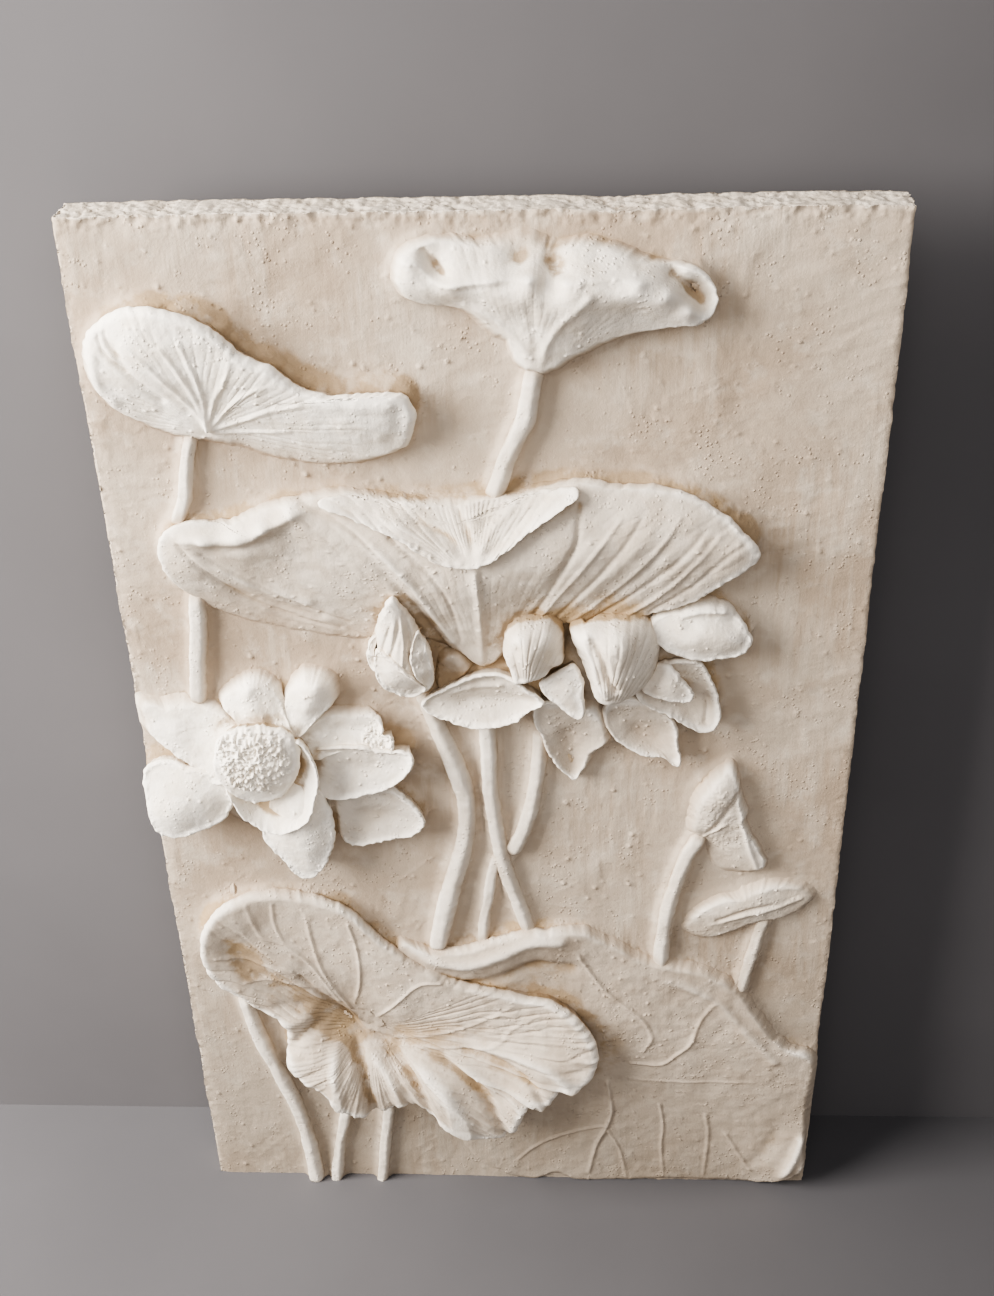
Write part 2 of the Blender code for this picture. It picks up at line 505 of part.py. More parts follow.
def thin_plate(rows):
    """A smooth height field, like a bent thin plate, through rows of x, z, height."""
    rows = np.array(rows, float)
    at, heights = rows[:, :2], rows[:, 2]
    apart = ((at[:, None] - at[None]) ** 2).sum(axis=2)
    flat = np.column_stack([np.ones(len(at)), at])
    system = np.block([[bending(apart) + np.eye(len(at)), flat], [flat.T, np.zeros((3, 3))]])
    weights = np.linalg.solve(system, np.concatenate([heights, np.zeros(3)]))

    def height(x, z):
        found = weights[-3] + weights[-2] * x + weights[-1] * z
        for (px, pz), weight in zip(at, weights):
            found = found + weight * bending((x - px) ** 2 + (z - pz) ** 2)
        return found

    return height


def off_line(x, z, path):
    """Distance from each point to a path, and how far along it the nearest place is, 0 to 1."""
    path = np.array(path, float)
    best = np.full(np.shape(x), 1e9)
    along = np.zeros(np.shape(x))
    lengths = np.hypot(*np.diff(path, axis=0).T)
    start = 0.0
    for (ax, az), (bx, bz), length in zip(path[:-1], path[1:], lengths):
        share = ((x - ax) * (bx - ax) + (z - az) * (bz - az)) / max(length**2, 1e-9)
        share = np.clip(share, 0.0, 1.0)
        off = np.hypot(x - ax - share * (bx - ax), z - az - share * (bz - az))
        nearer = off < best
        best = np.where(nearer, off, best)
        along = np.where(nearer, start + share * length, along)
        start += length
    return best, along / start


def form_surface(name, least_line=0.0):
    """The height of a form's face over the slab, with its carved lines."""
    form = FORMS[name]
    plate = thin_plate(placed(name, form["rim"] + form["inside"]))
    lines = [
        (width, rise, smooth_loop(placed(name, path), 40, closed=False))
        for form_name, width, rise, path in LINES
        if form_name == name and abs(rise) >= least_line
    ]

    def height(x, z):
        found = plate(x, z)
        for width, rise, path in lines:
            off, along = off_line(x, z, path)
            found = found + rise * np.exp(-((off / width) ** 2) * 1.6) * (1.0 - 0.5 * along**4)
        return found

    return height


def new_object(name, points, faces):
    """An object from points in millimetres given as x, height out, z."""
    x, out, z = np.array(points, float).T
    x = np.clip(x, -PANEL_WIDE / 2, PANEL_WIDE / 2)
    z = np.clip(z, -PANEL_HIGH / 2, PANEL_HIGH / 2)
    at = np.column_stack([x, -(SLAB_THICK + out), z]) * MM
    mesh = bpy.data.meshes.new(name)
    mesh.from_pydata(at.tolist(), [], faces)
    mesh.update()
    made = bpy.data.objects.new(name, mesh)
    bpy.context.scene.collection.objects.link(made)
    return made


def fitted(points):
    """The points of a form, stretched from the size it is drawn at to this panel's."""
    return np.array(points, float) * (PANEL_WIDE / DRAWN[0], RELIEF_DEEP / DRAWN[1], PANEL_HIGH / DRAWN[2])


def ring_faces(rings, around):
    """Quads between rings that each hold the same number of points."""
    faces = []
    for ring in range(rings - 1):
        for i in range(around):
            j = (i + 1) % around
            a, b = ring * around, (ring + 1) * around
            faces.append((a + i, a + j, b + j, b + i))
    return faces


def closed_form(name):
    """A leaf or petal as a closed solid: its face, a rounded rim and a side tucked in down to below the ground."""
    form = FORMS[name]
    rim = smooth_loop(placed(name, form["rim"]), 96)
    middle = np.array(form["middle"], float)
    height = form_surface(name, least_line=3.0)
    tangent = np.roll(rim[:, :2], -1, axis=0) - np.roll(rim[:, :2], 1, axis=0)
    outward = np.column_stack([tangent[:, 1], -tangent[:, 0]])
    outward /= np.hypot(*outward.T)[:, None]
    area = np.sum(rim[:, 0] * np.roll(rim[:, 1], -1) - np.roll(rim[:, 0], -1) * rim[:, 1])
    if area < 0:
        outward = -outward
    points = []
    reach = np.hypot(*(rim[:, :2] - middle).T)
    shares = list(np.linspace(0.06, 0.9, 14)) + [0.94, 0.97, 0.99, 1.0]
    for share in shares:
        at = middle + (rim[:, :2] - middle) * share
        inside = np.clip((1.0 - share) * reach / RIM_ROUND, 0.0, 1.0)
        rounding = RIM_ROUND * (1.0 - np.sqrt(1.0 - (1.0 - inside) ** 2))
        face = np.maximum(height(at[:, 0], at[:, 1]) - rounding, -SUNK / 2)
        points.append(np.column_stack([at[:, 0], face, at[:, 1]]))
    edge = points[-1]
    for share in (0.5, 1.0):
        tuck = UNDERCUT * np.maximum(rim[:, 2], 0.0) * share
        at = rim[:, :2] - outward * tuck[:, None]
        points.append(np.column_stack([at[:, 0], edge[:, 1] * (1 - share) - SUNK * share, at[:, 1]]))
    rings = len(points)
    points = np.concatenate(points + [[[middle[0], height(*middle[:, None])[0], middle[1]]]])
    points = np.concatenate([points, [[middle[0], -SUNK, middle[1]]]])
    faces = ring_faces(rings, 96)
    top, under, last = len(points) - 2, len(points) - 1, (rings - 1) * 96
    for i in range(96):
        j = (i + 1) % 96
        faces.append((top, j, i))
        faces.append((under, last + i, last + j))
    return new_object(name, fitted(points), faces)


def closed_stem(name):
    """A round stem half sunk in the ground."""
    (wide, tall), path = STEMS[name]
    line = smooth_loop([(x, z, 0.0) for x, z in path], 28, closed=False)
    ahead = np.gradient(line[:, :2], axis=0)
    side = np.column_stack([-ahead[:, 1], ahead[:, 0]]) / np.hypot(*ahead.T)[:, None]
    angles = np.linspace(0.0, 2 * np.pi, 12, endpoint=False)
    points = []
    for at, across in zip(line, side):
        for angle in angles:
            x, z = at[:2] + across * np.cos(angle) * wide / 2
            points.append((x, tall - wide / 2 + np.sin(angle) * wide / 2, z))
    faces = ring_faces(len(line), 12)
    faces.append(tuple(range(12)))
    faces.append(tuple((len(line) - 1) * 12 + i for i in reversed(range(12))))
    return new_object(name, fitted(points), faces)


def slab():
    """The slab with a straight foot and slightly wavy sides and top."""
    steps = 40
    half_wide, half_high = PANEL_WIDE / 2, PANEL_HIGH / 2
    corners = [
        (-half_wide, -half_high),
        (half_wide, -half_high),
        (half_wide, half_high),
        (-half_wide, half_high),
    ]
    loop = []
    for (ax, az), (bx, bz) in zip(corners, corners[1:] + corners[:1]):
        for i in range(steps):
            share = i / steps
            wave = np.sin(share * 11.0 + ax) + 0.6 * np.sin(share * 23.0 + az)
            wave *= EDGE_WAVE * np.sin(np.pi * share)
            x, z = ax + (bx - ax) * share, az + (bz - az) * share
            if ax == bx:
                x -= np.sign(ax) * abs(wave)
            else:
                z -= np.sign(az) * abs(wave) * (0.0 if az < 0 else 1.0)
            loop.append((x, z))
    around = len(loop)
    points = [(x, out, z) for out in (-SLAB_THICK, 0.0) for x, z in loop]
    faces = ring_faces(2, around)
    faces.append(tuple(reversed(range(around))))
    faces.append(tuple(range(around, 2 * around)))
    return new_object("slab", points, faces)


def join(objects, name):
    """One mesh holding all of the objects' meshes."""
    joined = bmesh.new()
    for made in objects:
        joined.from_mesh(made.data)
        bpy.data.objects.remove(made)
    bmesh.ops.recalc_face_normals(joined, faces=joined.faces)
    mesh = bpy.data.meshes.new(name)
    joined.to_mesh(mesh)
    joined.free()
    made = bpy.data.objects.new(name, mesh)
    bpy.context.scene.collection.objects.link(made)
    return made


def largest_body(body):
    """Only the largest connected piece of a mesh is kept."""
    left = set(body.verts)
    groups = []
    while left:
        front = [left.pop()]
        group = list(front)
        while front:
            vert = front.pop()
            for edge in vert.link_edges:
                other = edge.other_vert(vert)
                if other in left:
                    left.remove(other)
                    group.append(other)
                    front.append(other)
        groups.append(group)
    groups.sort(key=len)
    for group in groups[:-1]:
        bmesh.ops.delete(body, geom=group, context="VERTS")


def baked(made):
    """The mesh that the object's modifiers make."""
    graph = bpy.context.evaluated_depsgraph_get()
    return bpy.data.meshes.new_from_object(made.evaluated_get(graph))


def pressed_flat(body):
    """Presses the points beside the back, the foot and the right side onto those planes."""
    near = GRAIN / 2
    for vert in body.verts:
        x, y, z = vert.co / MM
        if y > -near:
            vert.co.y = 0.0
        if z < near - PANEL_HIGH / 2:
            vert.co.z = -PANEL_HIGH / 2 * MM
        if x > PANEL_WIDE / 2 - near:
            vert.co.x = PANEL_WIDE / 2 * MM


def panel():
    """All forms and the slab fused into one solid."""
    pieces = [closed_form(name) for name in FORMS] + [closed_stem(name) for name in STEMS] + [slab()]
    fused = join(pieces, "lotus_panel")
    remesh = fused.modifiers.new("fuse", "REMESH")
    remesh.mode = "VOXEL"
    remesh.voxel_size = GRAIN * MM
    remesh.adaptivity = 0.0
    remesh.use_smooth_shade = False
    dense = baked(fused)
    fused.modifiers.clear()
    fused.data = dense
    body = bmesh.new()
    body.from_mesh(dense)
    largest_body(body)
    bmesh.ops.smooth_vert(
        body,
        verts=body.verts,
        factor=0.5,
        use_axis_x=True,
        use_axis_y=True,
        use_axis_z=True,
    )
    pressed_flat(body)
    body.to_mesh(dense)
    body.free()
    lighten = fused.modifiers.new("lighten", "DECIMATE")
    dense.calc_loop_triangles()
    lighten.ratio = MOST_TRIANGLES / len(dense.loop_triangles)
    lighten.use_collapse_triangulate = True
    light = baked(fused)
    fused.modifiers.clear()
    fused.data = light
    body = bmesh.new()
    body.from_mesh(light)
    pressed_flat(body)
    bmesh.ops.triangulate(body, faces=body.faces)
    bmesh.ops.recalc_face_normals(body, faces=body.faces)
    body.to_mesh(light)
    body.free()
    return fused


for old in list(bpy.data.objects):
    bpy.data.objects.remove(old)
panel()
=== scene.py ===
"""Looks for the carved wall panel: the same forms as the solid, made fine, in aged plaster.

Tables are in millimetres: x to the right, z up from the middle of the back, heights out from the slab's face.
The rows of a form, and of its lines and folds, are counted from the form's middle.
"""

import math

import bpy
import numpy as np
from mathutils import Matrix


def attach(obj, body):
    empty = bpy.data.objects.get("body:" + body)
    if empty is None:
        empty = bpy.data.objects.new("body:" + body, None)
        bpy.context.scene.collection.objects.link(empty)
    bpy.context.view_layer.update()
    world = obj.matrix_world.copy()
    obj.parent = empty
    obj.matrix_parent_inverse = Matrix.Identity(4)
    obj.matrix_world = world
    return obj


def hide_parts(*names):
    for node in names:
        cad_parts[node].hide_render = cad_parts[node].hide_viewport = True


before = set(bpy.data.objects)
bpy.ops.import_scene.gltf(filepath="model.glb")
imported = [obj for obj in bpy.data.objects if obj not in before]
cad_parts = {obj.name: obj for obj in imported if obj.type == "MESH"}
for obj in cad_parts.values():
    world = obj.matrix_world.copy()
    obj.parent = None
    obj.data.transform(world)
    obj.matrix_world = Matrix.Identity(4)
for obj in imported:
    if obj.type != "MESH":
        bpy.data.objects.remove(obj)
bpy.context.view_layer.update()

MM = 0.001
PANEL_WIDE = 600.0
PANEL_HIGH = 1000.0
HALF_WIDE = PANEL_WIDE / 2
HALF_HIGH = PANEL_HIGH / 2
SLAB_THICK = 35.0

# How far the forms go on below the slab's face, lean in under their rims, and stand out at most.
SUNK = 6.0
UNDERCUT = 0.28
HIGHEST = 48.5

# The room kept inside the panel's sides and top, and the box in metres that all points keep to.
ROOM = 0.1
BOX_LOW = (-0.2999, -0.0839, -0.5)
BOX_HIGH = (0.2999, 0.0, 0.4999)

# Distances between points on the forms, stems, ground and sides, and the most triangles in all.
SPACING = 1.3
STEM_SPACING = 1.6
GROUND_SPACING = 1.5
SIDE_SPACING = 1.6
MOST_TRIANGLES = 960000

# How many points a soft curve has between two rows, a line or fold has, and a form's rim has when judged.
CURVE_STEPS = 14
PATH_POINTS = 40
ROUGH_RIM = 200
RASTER_RIM = 240
STEM_AROUND = 30
SIDE_ROWS = 24

# Rows at a form's rounded rim, from its face to its edge, and below it, as shares of the way.
RIM_SHARES = (0.86, 0.72, 0.58, 0.45, 0.33, 0.22, 0.13, 0.06, 0.02, 0.0)
BELOW_SHARES = (0.12, 0.3, 0.5, 0.7, 0.85, 1.0)

# Rims lower than the first height flow softly into the ground, and above the second they are crisp.
SOFT_RIM = (7.0, 16.0)
SOFT_WIDE = 14.0
SOFT_SPREAD = 4.0
CRISP_WIDE = 2.4

# How sharp carved lines are, how far stems run on at their ends, and how much lower they are there.
LINE_SHARP = 1.6
RUN_ON = 9.0
STEM_DROP = 5.0

# The grid on which the relief's height is kept, and a distance that is farther than any on the panel.
CELL = 2.0
FAR = 1e9


# How wide the crisp rims of some forms are rounded.
ROUNDS = {
    "leaf_a": 7.0, "leaf_b": 5.0, "leaf_c": 3.0, "leaf_g": 5.0, "leaf_h": 5.0, "leaf_i": 4.5, "leaf_j": 8.0,
    "curl_1": 9.0, "curl_2": 9.0, "bud": 5.0, "wedge": 4.0, "pod": 3.5,
}

# How high and how wide a lip some forms have at their rim.
LIPS = {
    "cup": (2.0, 2.0), "sepal_l": (1.5, 1.6), "sepal_r": (1.5, 1.6), "sepal_s": (1.0, 1.5),
    "wedge": (0.8, 1.8), "boat": (1.6, 2.0), "petal_lower": (0.5, 2.2), "petal_lower_left": (0.5, 2.2),
    "petal_left": (1.0, 2.0), "petal_upper_left": (0.6, 2.0), "petal_upper_right": (0.6, 2.0),
    "petal_right_upper": (1.2, 2.0), "petal_right_mid": (1.2, 2.0), "petal_right_lower": (1.2, 2.0),
    "petal_ur": (0.8, 2.2), "petal_r": (1.2, 2.0), "petal_in": (0.8, 1.8), "petal_d1": (1.5, 2.0),
    "petal_d2": (1.5, 2.0),
}

# The middles of the two flowers, the petals that run on under them, and how far and how much lower.
TUCKED = {
    (100, 150): (
        "wedge", "petal_ur", "petal_r", "petal_in", "petal_d1", "petal_d2",
    ),
    (-190, 50): (
        "petal_lower", "petal_lower_left", "petal_left", "petal_upper_left", "petal_upper_right",
        "petal_right_upper", "petal_right_mid", "petal_right_lower",
    ),
}
TUCK_REACH = 9.0
TUCK_DROP = 3.0

# How pale the paint is on some forms, on the other pieces by a part of their name, and on all other forms.
PALENESS = {
    "leaf_back": 0.0, "bed_left": 0.4, "bed_right": 0.2, "bud": 0.6, "sepal_l": 0.6, "sepal_r": 0.7,
    "sepal_s": 0.3, "leaf_i": 0.0, "leaf_j": 0.1, "leaf_c": 0.25, "leaf_b": 0.7, "drape": 0.45,
    "leaf_g": 0.3, "leaf_h": 0.3, "curl_1": 0.45, "curl_2": 0.45, "wedge": 0.5, "boat": 0.5,
    "petal_d1": 0.25, "petal_d2": 0.25, "petal_r": 0.3, "petal_in": 0.4, "petal_ur": 0.7,
    "petal_right_lower": 0.5, "petal_right_mid": 0.7,
}
PIECE_PALENESS = {"slab": 0.4, "ground": 0.0, "stem": 0.25}
FORM_PALENESS = 0.9

# Crumbly places: where from the form's middle, the reach each way, the height and the size of the crumbs.
CRUMBLY = {
    "pod": ((-1.0, -1.0), (31.0, 36.0), 2.8, 3.4),
    "curl_1": ((-3.0, 28.0), (26.0, 9.0), 1.6, 3.2),
    "curl_2": ((4.0, 36.0), (40.0, 9.0), 1.6, 3.2),
    "petal_right_upper": ((26.0, -6.0), (16.0, 14.0), 2.0, 3.4),
    "leaf_g": ((2.0, 6.0), (34.0, 50.0), 0.4, 5.0),
}

# Height for each unit that the rim bulges out, the width it is judged over, and the least height of rim.
RUFFLES = {"leaf_j": (1.8, 26.0, 28.0)}

# Each form's middle, its rim, and places on its face, as x, z and height.
FORMS = {
    "leaf_a": dict(middle=(-183, 365), rim=[
        (-45, -34, 7), (-72, -22, 7), (-99, -4, 9), (-108, 19, 12), (-107, 40, 14), (-96, 58, 17),
        (-71, 73, 22), (-48, 75, 28), (-23, 69, 30), (-3, 58, 30), (13, 41, 30), (34, 31, 30), (51, 16, 29),
        (74, 9, 28), (103, 10, 28), (124, 9, 27), (133, -2, 26), (133, -18, 22), (124, -39, 14),
        (104, -51, 8), (73, -57, 5), (39, -55, 4), (9, -47, 4), (-16, -40, 6),
    ], inside=[
        (-84, 44, 22), (-94, 24, 18), (-64, 58, 28), (-40, 51, 30), (-17, 35, 29), (-80, 17, 20),
        (-55, 27, 26), (-61, -1, 16), (-36, -4, 17), (-22, -21, 12), (-5, 3, 20), (-7, 27, 28),
        (13, 19, 28), (22, -8, 20), (51, -5, 26), (84, -7, 28), (116, -9, 27), (8, -30, 9), (46, -36, 11),
        (80, -36, 14), (114, -33, 18),
    ]),
    "leaf_b": dict(middle=(36, 448), rim=[
        (-99, 4, 10), (-96, 17, 12), (-88, 29, 12), (-74, 35, 11), (-58, 35, 8), (-41, 34, 8), (-21, 37, 7),
        (0, 40, 7), (21, 33, 8), (45, 34, 8), (65, 28, 9), (88, 18, 10), (107, 15, 13), (120, 10, 15),
        (130, -4, 17), (129, -15, 19), (120, -25, 20), (105, -28, 17), (84, -32, 14), (63, -40, 12),
        (45, -49, 11), (28, -58, 11), (10, -66, 12), (-9, -63, 10), (-18, -46, 8), (-31, -38, 7),
        (-44, -25, 7), (-59, -15, 7), (-78, -12, 8), (-91, -8, 9),
    ], inside=[
        (-84, 16, 22), (-73, 3, 22), (-56, 7, 28), (-27, 11, 30), (0, 13, 31), (24, 10, 32), (48, 10, 33),
        (75, 10, 33), (95, 2, 31), (111, -12, 26), (-65, 17, 12), (-54, 21, 17), (-34, 20, 19),
        (-7, 21, 12), (18, 14, 15), (48, 21, 19), (76, 16, 19), (98, 9, 12), (114, -3, 9), (123, -10, 10),
        (-42, -7, 20), (-7, -14, 27), (21, -21, 28), (48, -14, 29), (76, -9, 28), (98, -15, 25),
        (3, -41, 20), (24, -42, 18),
    ]),
    "leaf_c": dict(middle=(-20, 242), rim=[
        (-237, 2, 15), (-228, 17, 17), (-207, 25, 16), (-185, 23, 14), (-161, 32, 14), (-141, 39, 13),
        (-121, 44, 13), (-90, 48, 12), (-53, 43, 12), (-15, 40, 12), (16, 43, 12), (46, 46, 12),
        (68, 52, 13), (91, 57, 14), (121, 52, 14), (151, 51, 14), (173, 46, 16), (192, 36, 19),
        (211, 21, 22), (228, 1, 25), (220, -13, 25), (204, -25, 24), (186, -41, 21), (169, -51, 18),
        (138, -61, 15), (99, -69, 12), (59, -82, 10), (33, -101, 11), (15, -113, 12), (-5, -101, 11),
        (-29, -93, 8), (-62, -94, 5), (-102, -89, 3), (-143, -82, 2), (-182, -70, 3), (-215, -53, 7),
        (-229, -35, 12), (-236, -15, 15),
    ], inside=[
        (-217, 6, 21), (-196, 13, 24), (-172, 17, 26), (-150, 25, 26), (-128, 38, 24), (-220, -17, 19),
        (-191, -6, 20), (-196, -34, 14), (-156, -6, 20), (-162, -48, 9), (-130, 13, 22), (-106, 27, 24),
        (-108, -4, 24), (-113, -45, 14), (-76, 7, 28), (-72, -32, 22), (-46, -9, 31), (-42, -51, 20),
        (-16, -26, 32), (-19, -66, 18), (11, -25, 33), (12, -70, 20), (29, -37, 28), (45, -8, 33),
        (52, -51, 20), (72, 14, 33), (76, -30, 26), (106, 31, 27), (106, -1, 31), (107, -42, 20),
        (136, 31, 27), (144, -1, 30), (145, -34, 22), (173, 27, 27), (182, -2, 29), (208, 5, 29),
        (128, 44, 19), (166, 39, 21),
    ]),
    "drape": dict(middle=(-23, 268), rim=[
        (-103, 17, 22), (-87, 20, 15), (-50, 16, 13), (-12, 13, 13), (19, 16, 13), (49, 19, 14),
        (71, 25, 16), (89, 29, 22), (92, 24, 30), (76, 14, 35), (64, 6, 38), (53, -3, 40), (45, -10, 41),
        (34, -18, 42), (23, -25, 42), (12, -30, 42), (-3, -29, 41), (-16, -26, 40), (-27, -20, 38),
        (-38, -11, 36), (-49, -5, 34), (-64, 1, 32), (-79, 7, 29), (-93, 13, 26),
    ], inside=[
        (-72, 12, 22), (-42, 6, 26), (-19, -5, 30), (7, -12, 33), (34, -4, 32), (53, 7, 29), (72, 18, 26),
        (11, 4, 23), (-19, 7, 20), (41, 11, 21),
    ]),
    "pod": dict(middle=(-197, 60), rim=[
        (-34, 0, 38), (-28, 17, 38), (-17, 25, 36), (0, 28, 35), (19, 27, 35), (33, 20, 36), (38, 5, 36),
        (37, -12, 36), (30, -31, 34), (17, -45, 33), (2, -51, 34), (-12, -49, 36), (-24, -39, 38),
        (-33, -21, 39),
    ], inside=[
        (0, 6, 44), (-20, 1, 43), (19, 9, 42), (2, 21, 42), (-8, -20, 44), (12, -18, 42), (26, -9, 40),
    ]),
    "cup": dict(middle=(-193, 12), rim=[
        (32, 63, 34), (43, 50, 37), (48, 30, 39), (45, 7, 40), (36, -17, 40), (23, -27, 40), (9, -32, 40),
        (-8, -27, 39), (-21, -15, 37), (-30, 1, 35), (-34, 11, 26), (-20, 30, 24), (7, 46, 24),
    ], inside=[
        (30, 21, 26), (33, 37, 26), (25, 0, 26), (6, -12, 26), (-11, -12, 26), (-24, 0, 28), (37, 12, 34),
        (19, -18, 34), (-5, -20, 33),
    ]),
    "leaf_back": dict(middle=(-34, 126), rim=[
        (-16, 4, 10), (-7, 16, 12), (3, 20, 13), (12, 17, 13), (18, 7, 13), (11, -5, 13), (0, -14, 12),
        (-12, -20, 11),
    ], inside=[
        (0, 0, 10), (7, 11, 14),
    ]),
    "bed_right": dict(middle=(99, 134), rim=[
        (-56, 6, 6), (-32, 32, 7), (20, 41, 7), (60, 21, 7), (69, -13, 6), (62, -38, 5), (30, -50, 5),
        (-11, -50, 5), (-40, -38, 6), (-60, -18, 6),
    ], inside=[
        (-32, 3, 16), (4, 8, 16), (36, 0, 12), (-11, -31, 9), (30, -31, 8),
    ]),
    "bed_left": dict(middle=(-179, 44), rim=[
        (-54, 37, 6), (-22, 57, 6), (20, 62, 7), (51, 37, 7), (62, 7, 7), (54, -41, 7), (34, -74, 7),
        (-3, -91, 6), (-46, -80, 6), (-72, -42, 6), (-66, 6, 6),
    ], inside=[
        (18, 25, 18), (32, -6, 18), (12, -45, 16), (-26, 0, 20), (-32, 36, 12),
    ]),
    "bud": dict(middle=(-68, 159), rim=[
        (-7, 49, 34), (-19, 28, 26), (-22, 13, 24), (-23, -9, 22), (-24, -25, 22), (-22, -37, 21),
        (-12, -47, 20), (4, -51, 20), (18, -45, 21), (22, -31, 21), (21, -10, 22), (16, 7, 24), (5, 32, 28),
        (-1, 43, 32),
    ], inside=[
        (-7, 23, 35), (-4, 0, 36), (5, -6, 34), (-3, -26, 32), (12, -16, 30),
    ]),
    "sepal_l": dict(middle=(-79, 142), rim=[
        (-12, 14, 24), (-3, 14, 31), (10, 6, 36), (21, -9, 34), (28, -22, 26), (15, -34, 20), (-1, -30, 20),
        (-11, -20, 22), (-15, -4, 22),
    ], inside=[
        (-2, -3, 34), (7, -12, 33),
    ]),
    "sepal_r": dict(middle=(-54, 151), rim=[
        (-2, 26, 30), (-8, 12, 34), (-8, -5, 35), (-1, -21, 33), (3, -33, 24), (8, -24, 22), (8, -1, 24),
        (3, 15, 26),
    ], inside=[
        (0, 8, 35), (2, -9, 34),
    ]),
    "sepal_s": dict(middle=(-93, 151), rim=[
        (4, 17, 22), (-3, 10, 18), (-7, -6, 16), (-4, -17, 18), (1, -17, 22), (4, -5, 22), (0, 4, 22),
    ], inside=[
        (-1, 0, 25),
    ]),
    "boat": dict(middle=(-6, 102), rim=[
        (-49, 4, 18), (-36, 13, 20), (-22, 21, 21), (-9, 27, 21), (5, 30, 22), (20, 29, 24), (37, 16, 26),
        (49, 4, 26), (38, -5, 26), (27, -14, 26), (16, -19, 26), (-3, -23, 25), (-23, -20, 22),
        (-40, -14, 19), (-52, -6, 17),
    ], inside=[
        (-12, 2, 17), (13, 4, 18), (33, -1, 21), (-29, -4, 16),
    ]),
    "curl_1": dict(middle=(35, 168), rim=[
        (-11, 16, 26), (-18, 11, 28), (-23, 1, 29), (-25, -16, 30), (-19, -31, 33), (-15, -41, 35),
        (-3, -37, 37), (7, -34, 36), (15, -27, 32), (23, -25, 28), (24, -11, 25), (23, 6, 22), (14, 16, 22),
        (1, 18, 24),
    ], inside=[
        (-12, 8, 40), (-11, -14, 43), (-1, -20, 43), (1, 4, 42), (13, -9, 36), (11, 8, 34),
    ]),
    "curl_2": dict(middle=(102, 161), rim=[
        (-39, 14, 24), (-28, 19, 24), (-12, 23, 24), (6, 24, 22), (22, 19, 20), (31, 8, 20), (33, -9, 22),
        (30, -27, 25), (20, -41, 30), (5, -49, 36), (-7, -52, 38), (-18, -48, 37), (-24, -32, 34),
        (-29, -18, 30), (-35, -4, 26),
    ], inside=[
        (-23, 13, 38), (-15, -5, 45), (-10, -28, 46), (0, 16, 42), (4, -9, 46), (16, 3, 36), (16, -19, 38),
        (1, -34, 44), (-27, 18, 34),
    ]),
    "wedge": dict(middle=(59, 119), rim=[
        (-20, 5, 24), (-8, 15, 26), (4, 21, 28), (8, 6, 31), (15, -9, 32), (16, -21, 31), (12, -28, 30),
        (5, -25, 29), (-6, -15, 26), (-16, -7, 24),
    ], inside=[
        (1, -5, 32), (6, 5, 33),
    ]),
    "petal_ur": dict(middle=(169, 173), rim=[
        (-35, 7, 16), (-20, 15, 14), (-3, 20, 13), (12, 19, 13), (24, 12, 14), (34, -3, 17), (38, -14, 19),
        (30, -24, 20), (14, -28, 21), (-2, -29, 22), (-19, -20, 22), (-32, -7, 20),
    ], inside=[
        (-4, 10, 22), (13, 10, 20), (8, -7, 27), (-12, -6, 27), (26, -7, 25),
    ]),
    "petal_r": dict(middle=(157, 101), rim=[
        (8, 39, 16), (20, 22, 16), (26, 6, 17), (29, -11, 18), (26, -25, 19), (16, -29, 20), (2, -22, 20),
        (-12, -13, 20), (-30, -3, 20), (-37, 11, 20), (-22, 31, 18),
    ], inside=[
        (8, -1, 12), (-4, 0, 13), (12, -13, 15), (-17, 2, 16),
    ]),
    "petal_in": dict(middle=(143, 125), rim=[
        (-12, 7, 22), (1, 14, 22), (11, 2, 25), (19, -7, 27), (19, -11, 28), (13, -17, 28), (-5, -15, 27),
        (-20, -8, 26),
    ], inside=[
        (1, 2, 30), (8, -5, 30), (-8, 1, 28),
    ]),
    "petal_d1": dict(middle=(67, 51), rim=[
        (-34, 43, 18), (-22, 48, 18), (0, 40, 16), (17, 33, 14), (25, 20, 13), (29, 5, 12), (21, -3, 12),
        (15, -10, 12), (8, -23, 13), (1, -33, 14), (-5, -30, 14), (-15, -18, 14), (-24, -1, 14),
        (-28, 15, 14), (-34, 29, 15),
    ], inside=[
        (-4, 0, 7), (-2, -20, 8), (13, 11, 8), (-16, 13, 11), (-12, 31, 14),
    ]),
    "petal_d2": dict(middle=(125, 66), rim=[
        (-34, 12, 14), (-27, -2, 14), (-19, -11, 14), (-2, -20, 15), (15, -23, 15), (28, -30, 16),
        (30, -23, 16), (28, -8, 15), (25, 13, 15), (9, 25, 16), (-11, 32, 17), (-29, 28, 17),
    ], inside=[
        (-4, -3, 9), (13, -7, 10), (-16, 6, 11), (14, 9, 11),
    ]),
    "leaf_g": dict(middle=(193, -24), rim=[
        (6, 57, 11), (12, 43, 12), (16, 23, 13), (22, 8, 13), (22, -6, 13), (29, -23, 13), (37, -38, 12),
        (41, -59, 11), (27, -68, 5), (4, -67, 2), (-9, -48, 2), (-14, -32, 3), (-28, -22, 6), (-29, -1, 8),
        (-26, 19, 9), (-17, 36, 10), (-4, 50, 11),
    ], inside=[
        (-10, 26, 17), (-2, 36, 17), (5, 7, 14), (12, -21, 12), (-14, -4, 13), (22, -45, 10),
    ]),
    "leaf_h": dict(middle=(223, -123), rim=[
        (-60, -36, 4), (-51, -15, 7), (-36, 1, 9), (-18, 10, 9), (0, 21, 9), (25, 25, 8), (48, 21, 7),
        (60, 10, 6), (55, -2, 6), (43, -14, 6), (26, -22, 7), (4, -29, 7), (-20, -38, 6), (-42, -46, 4),
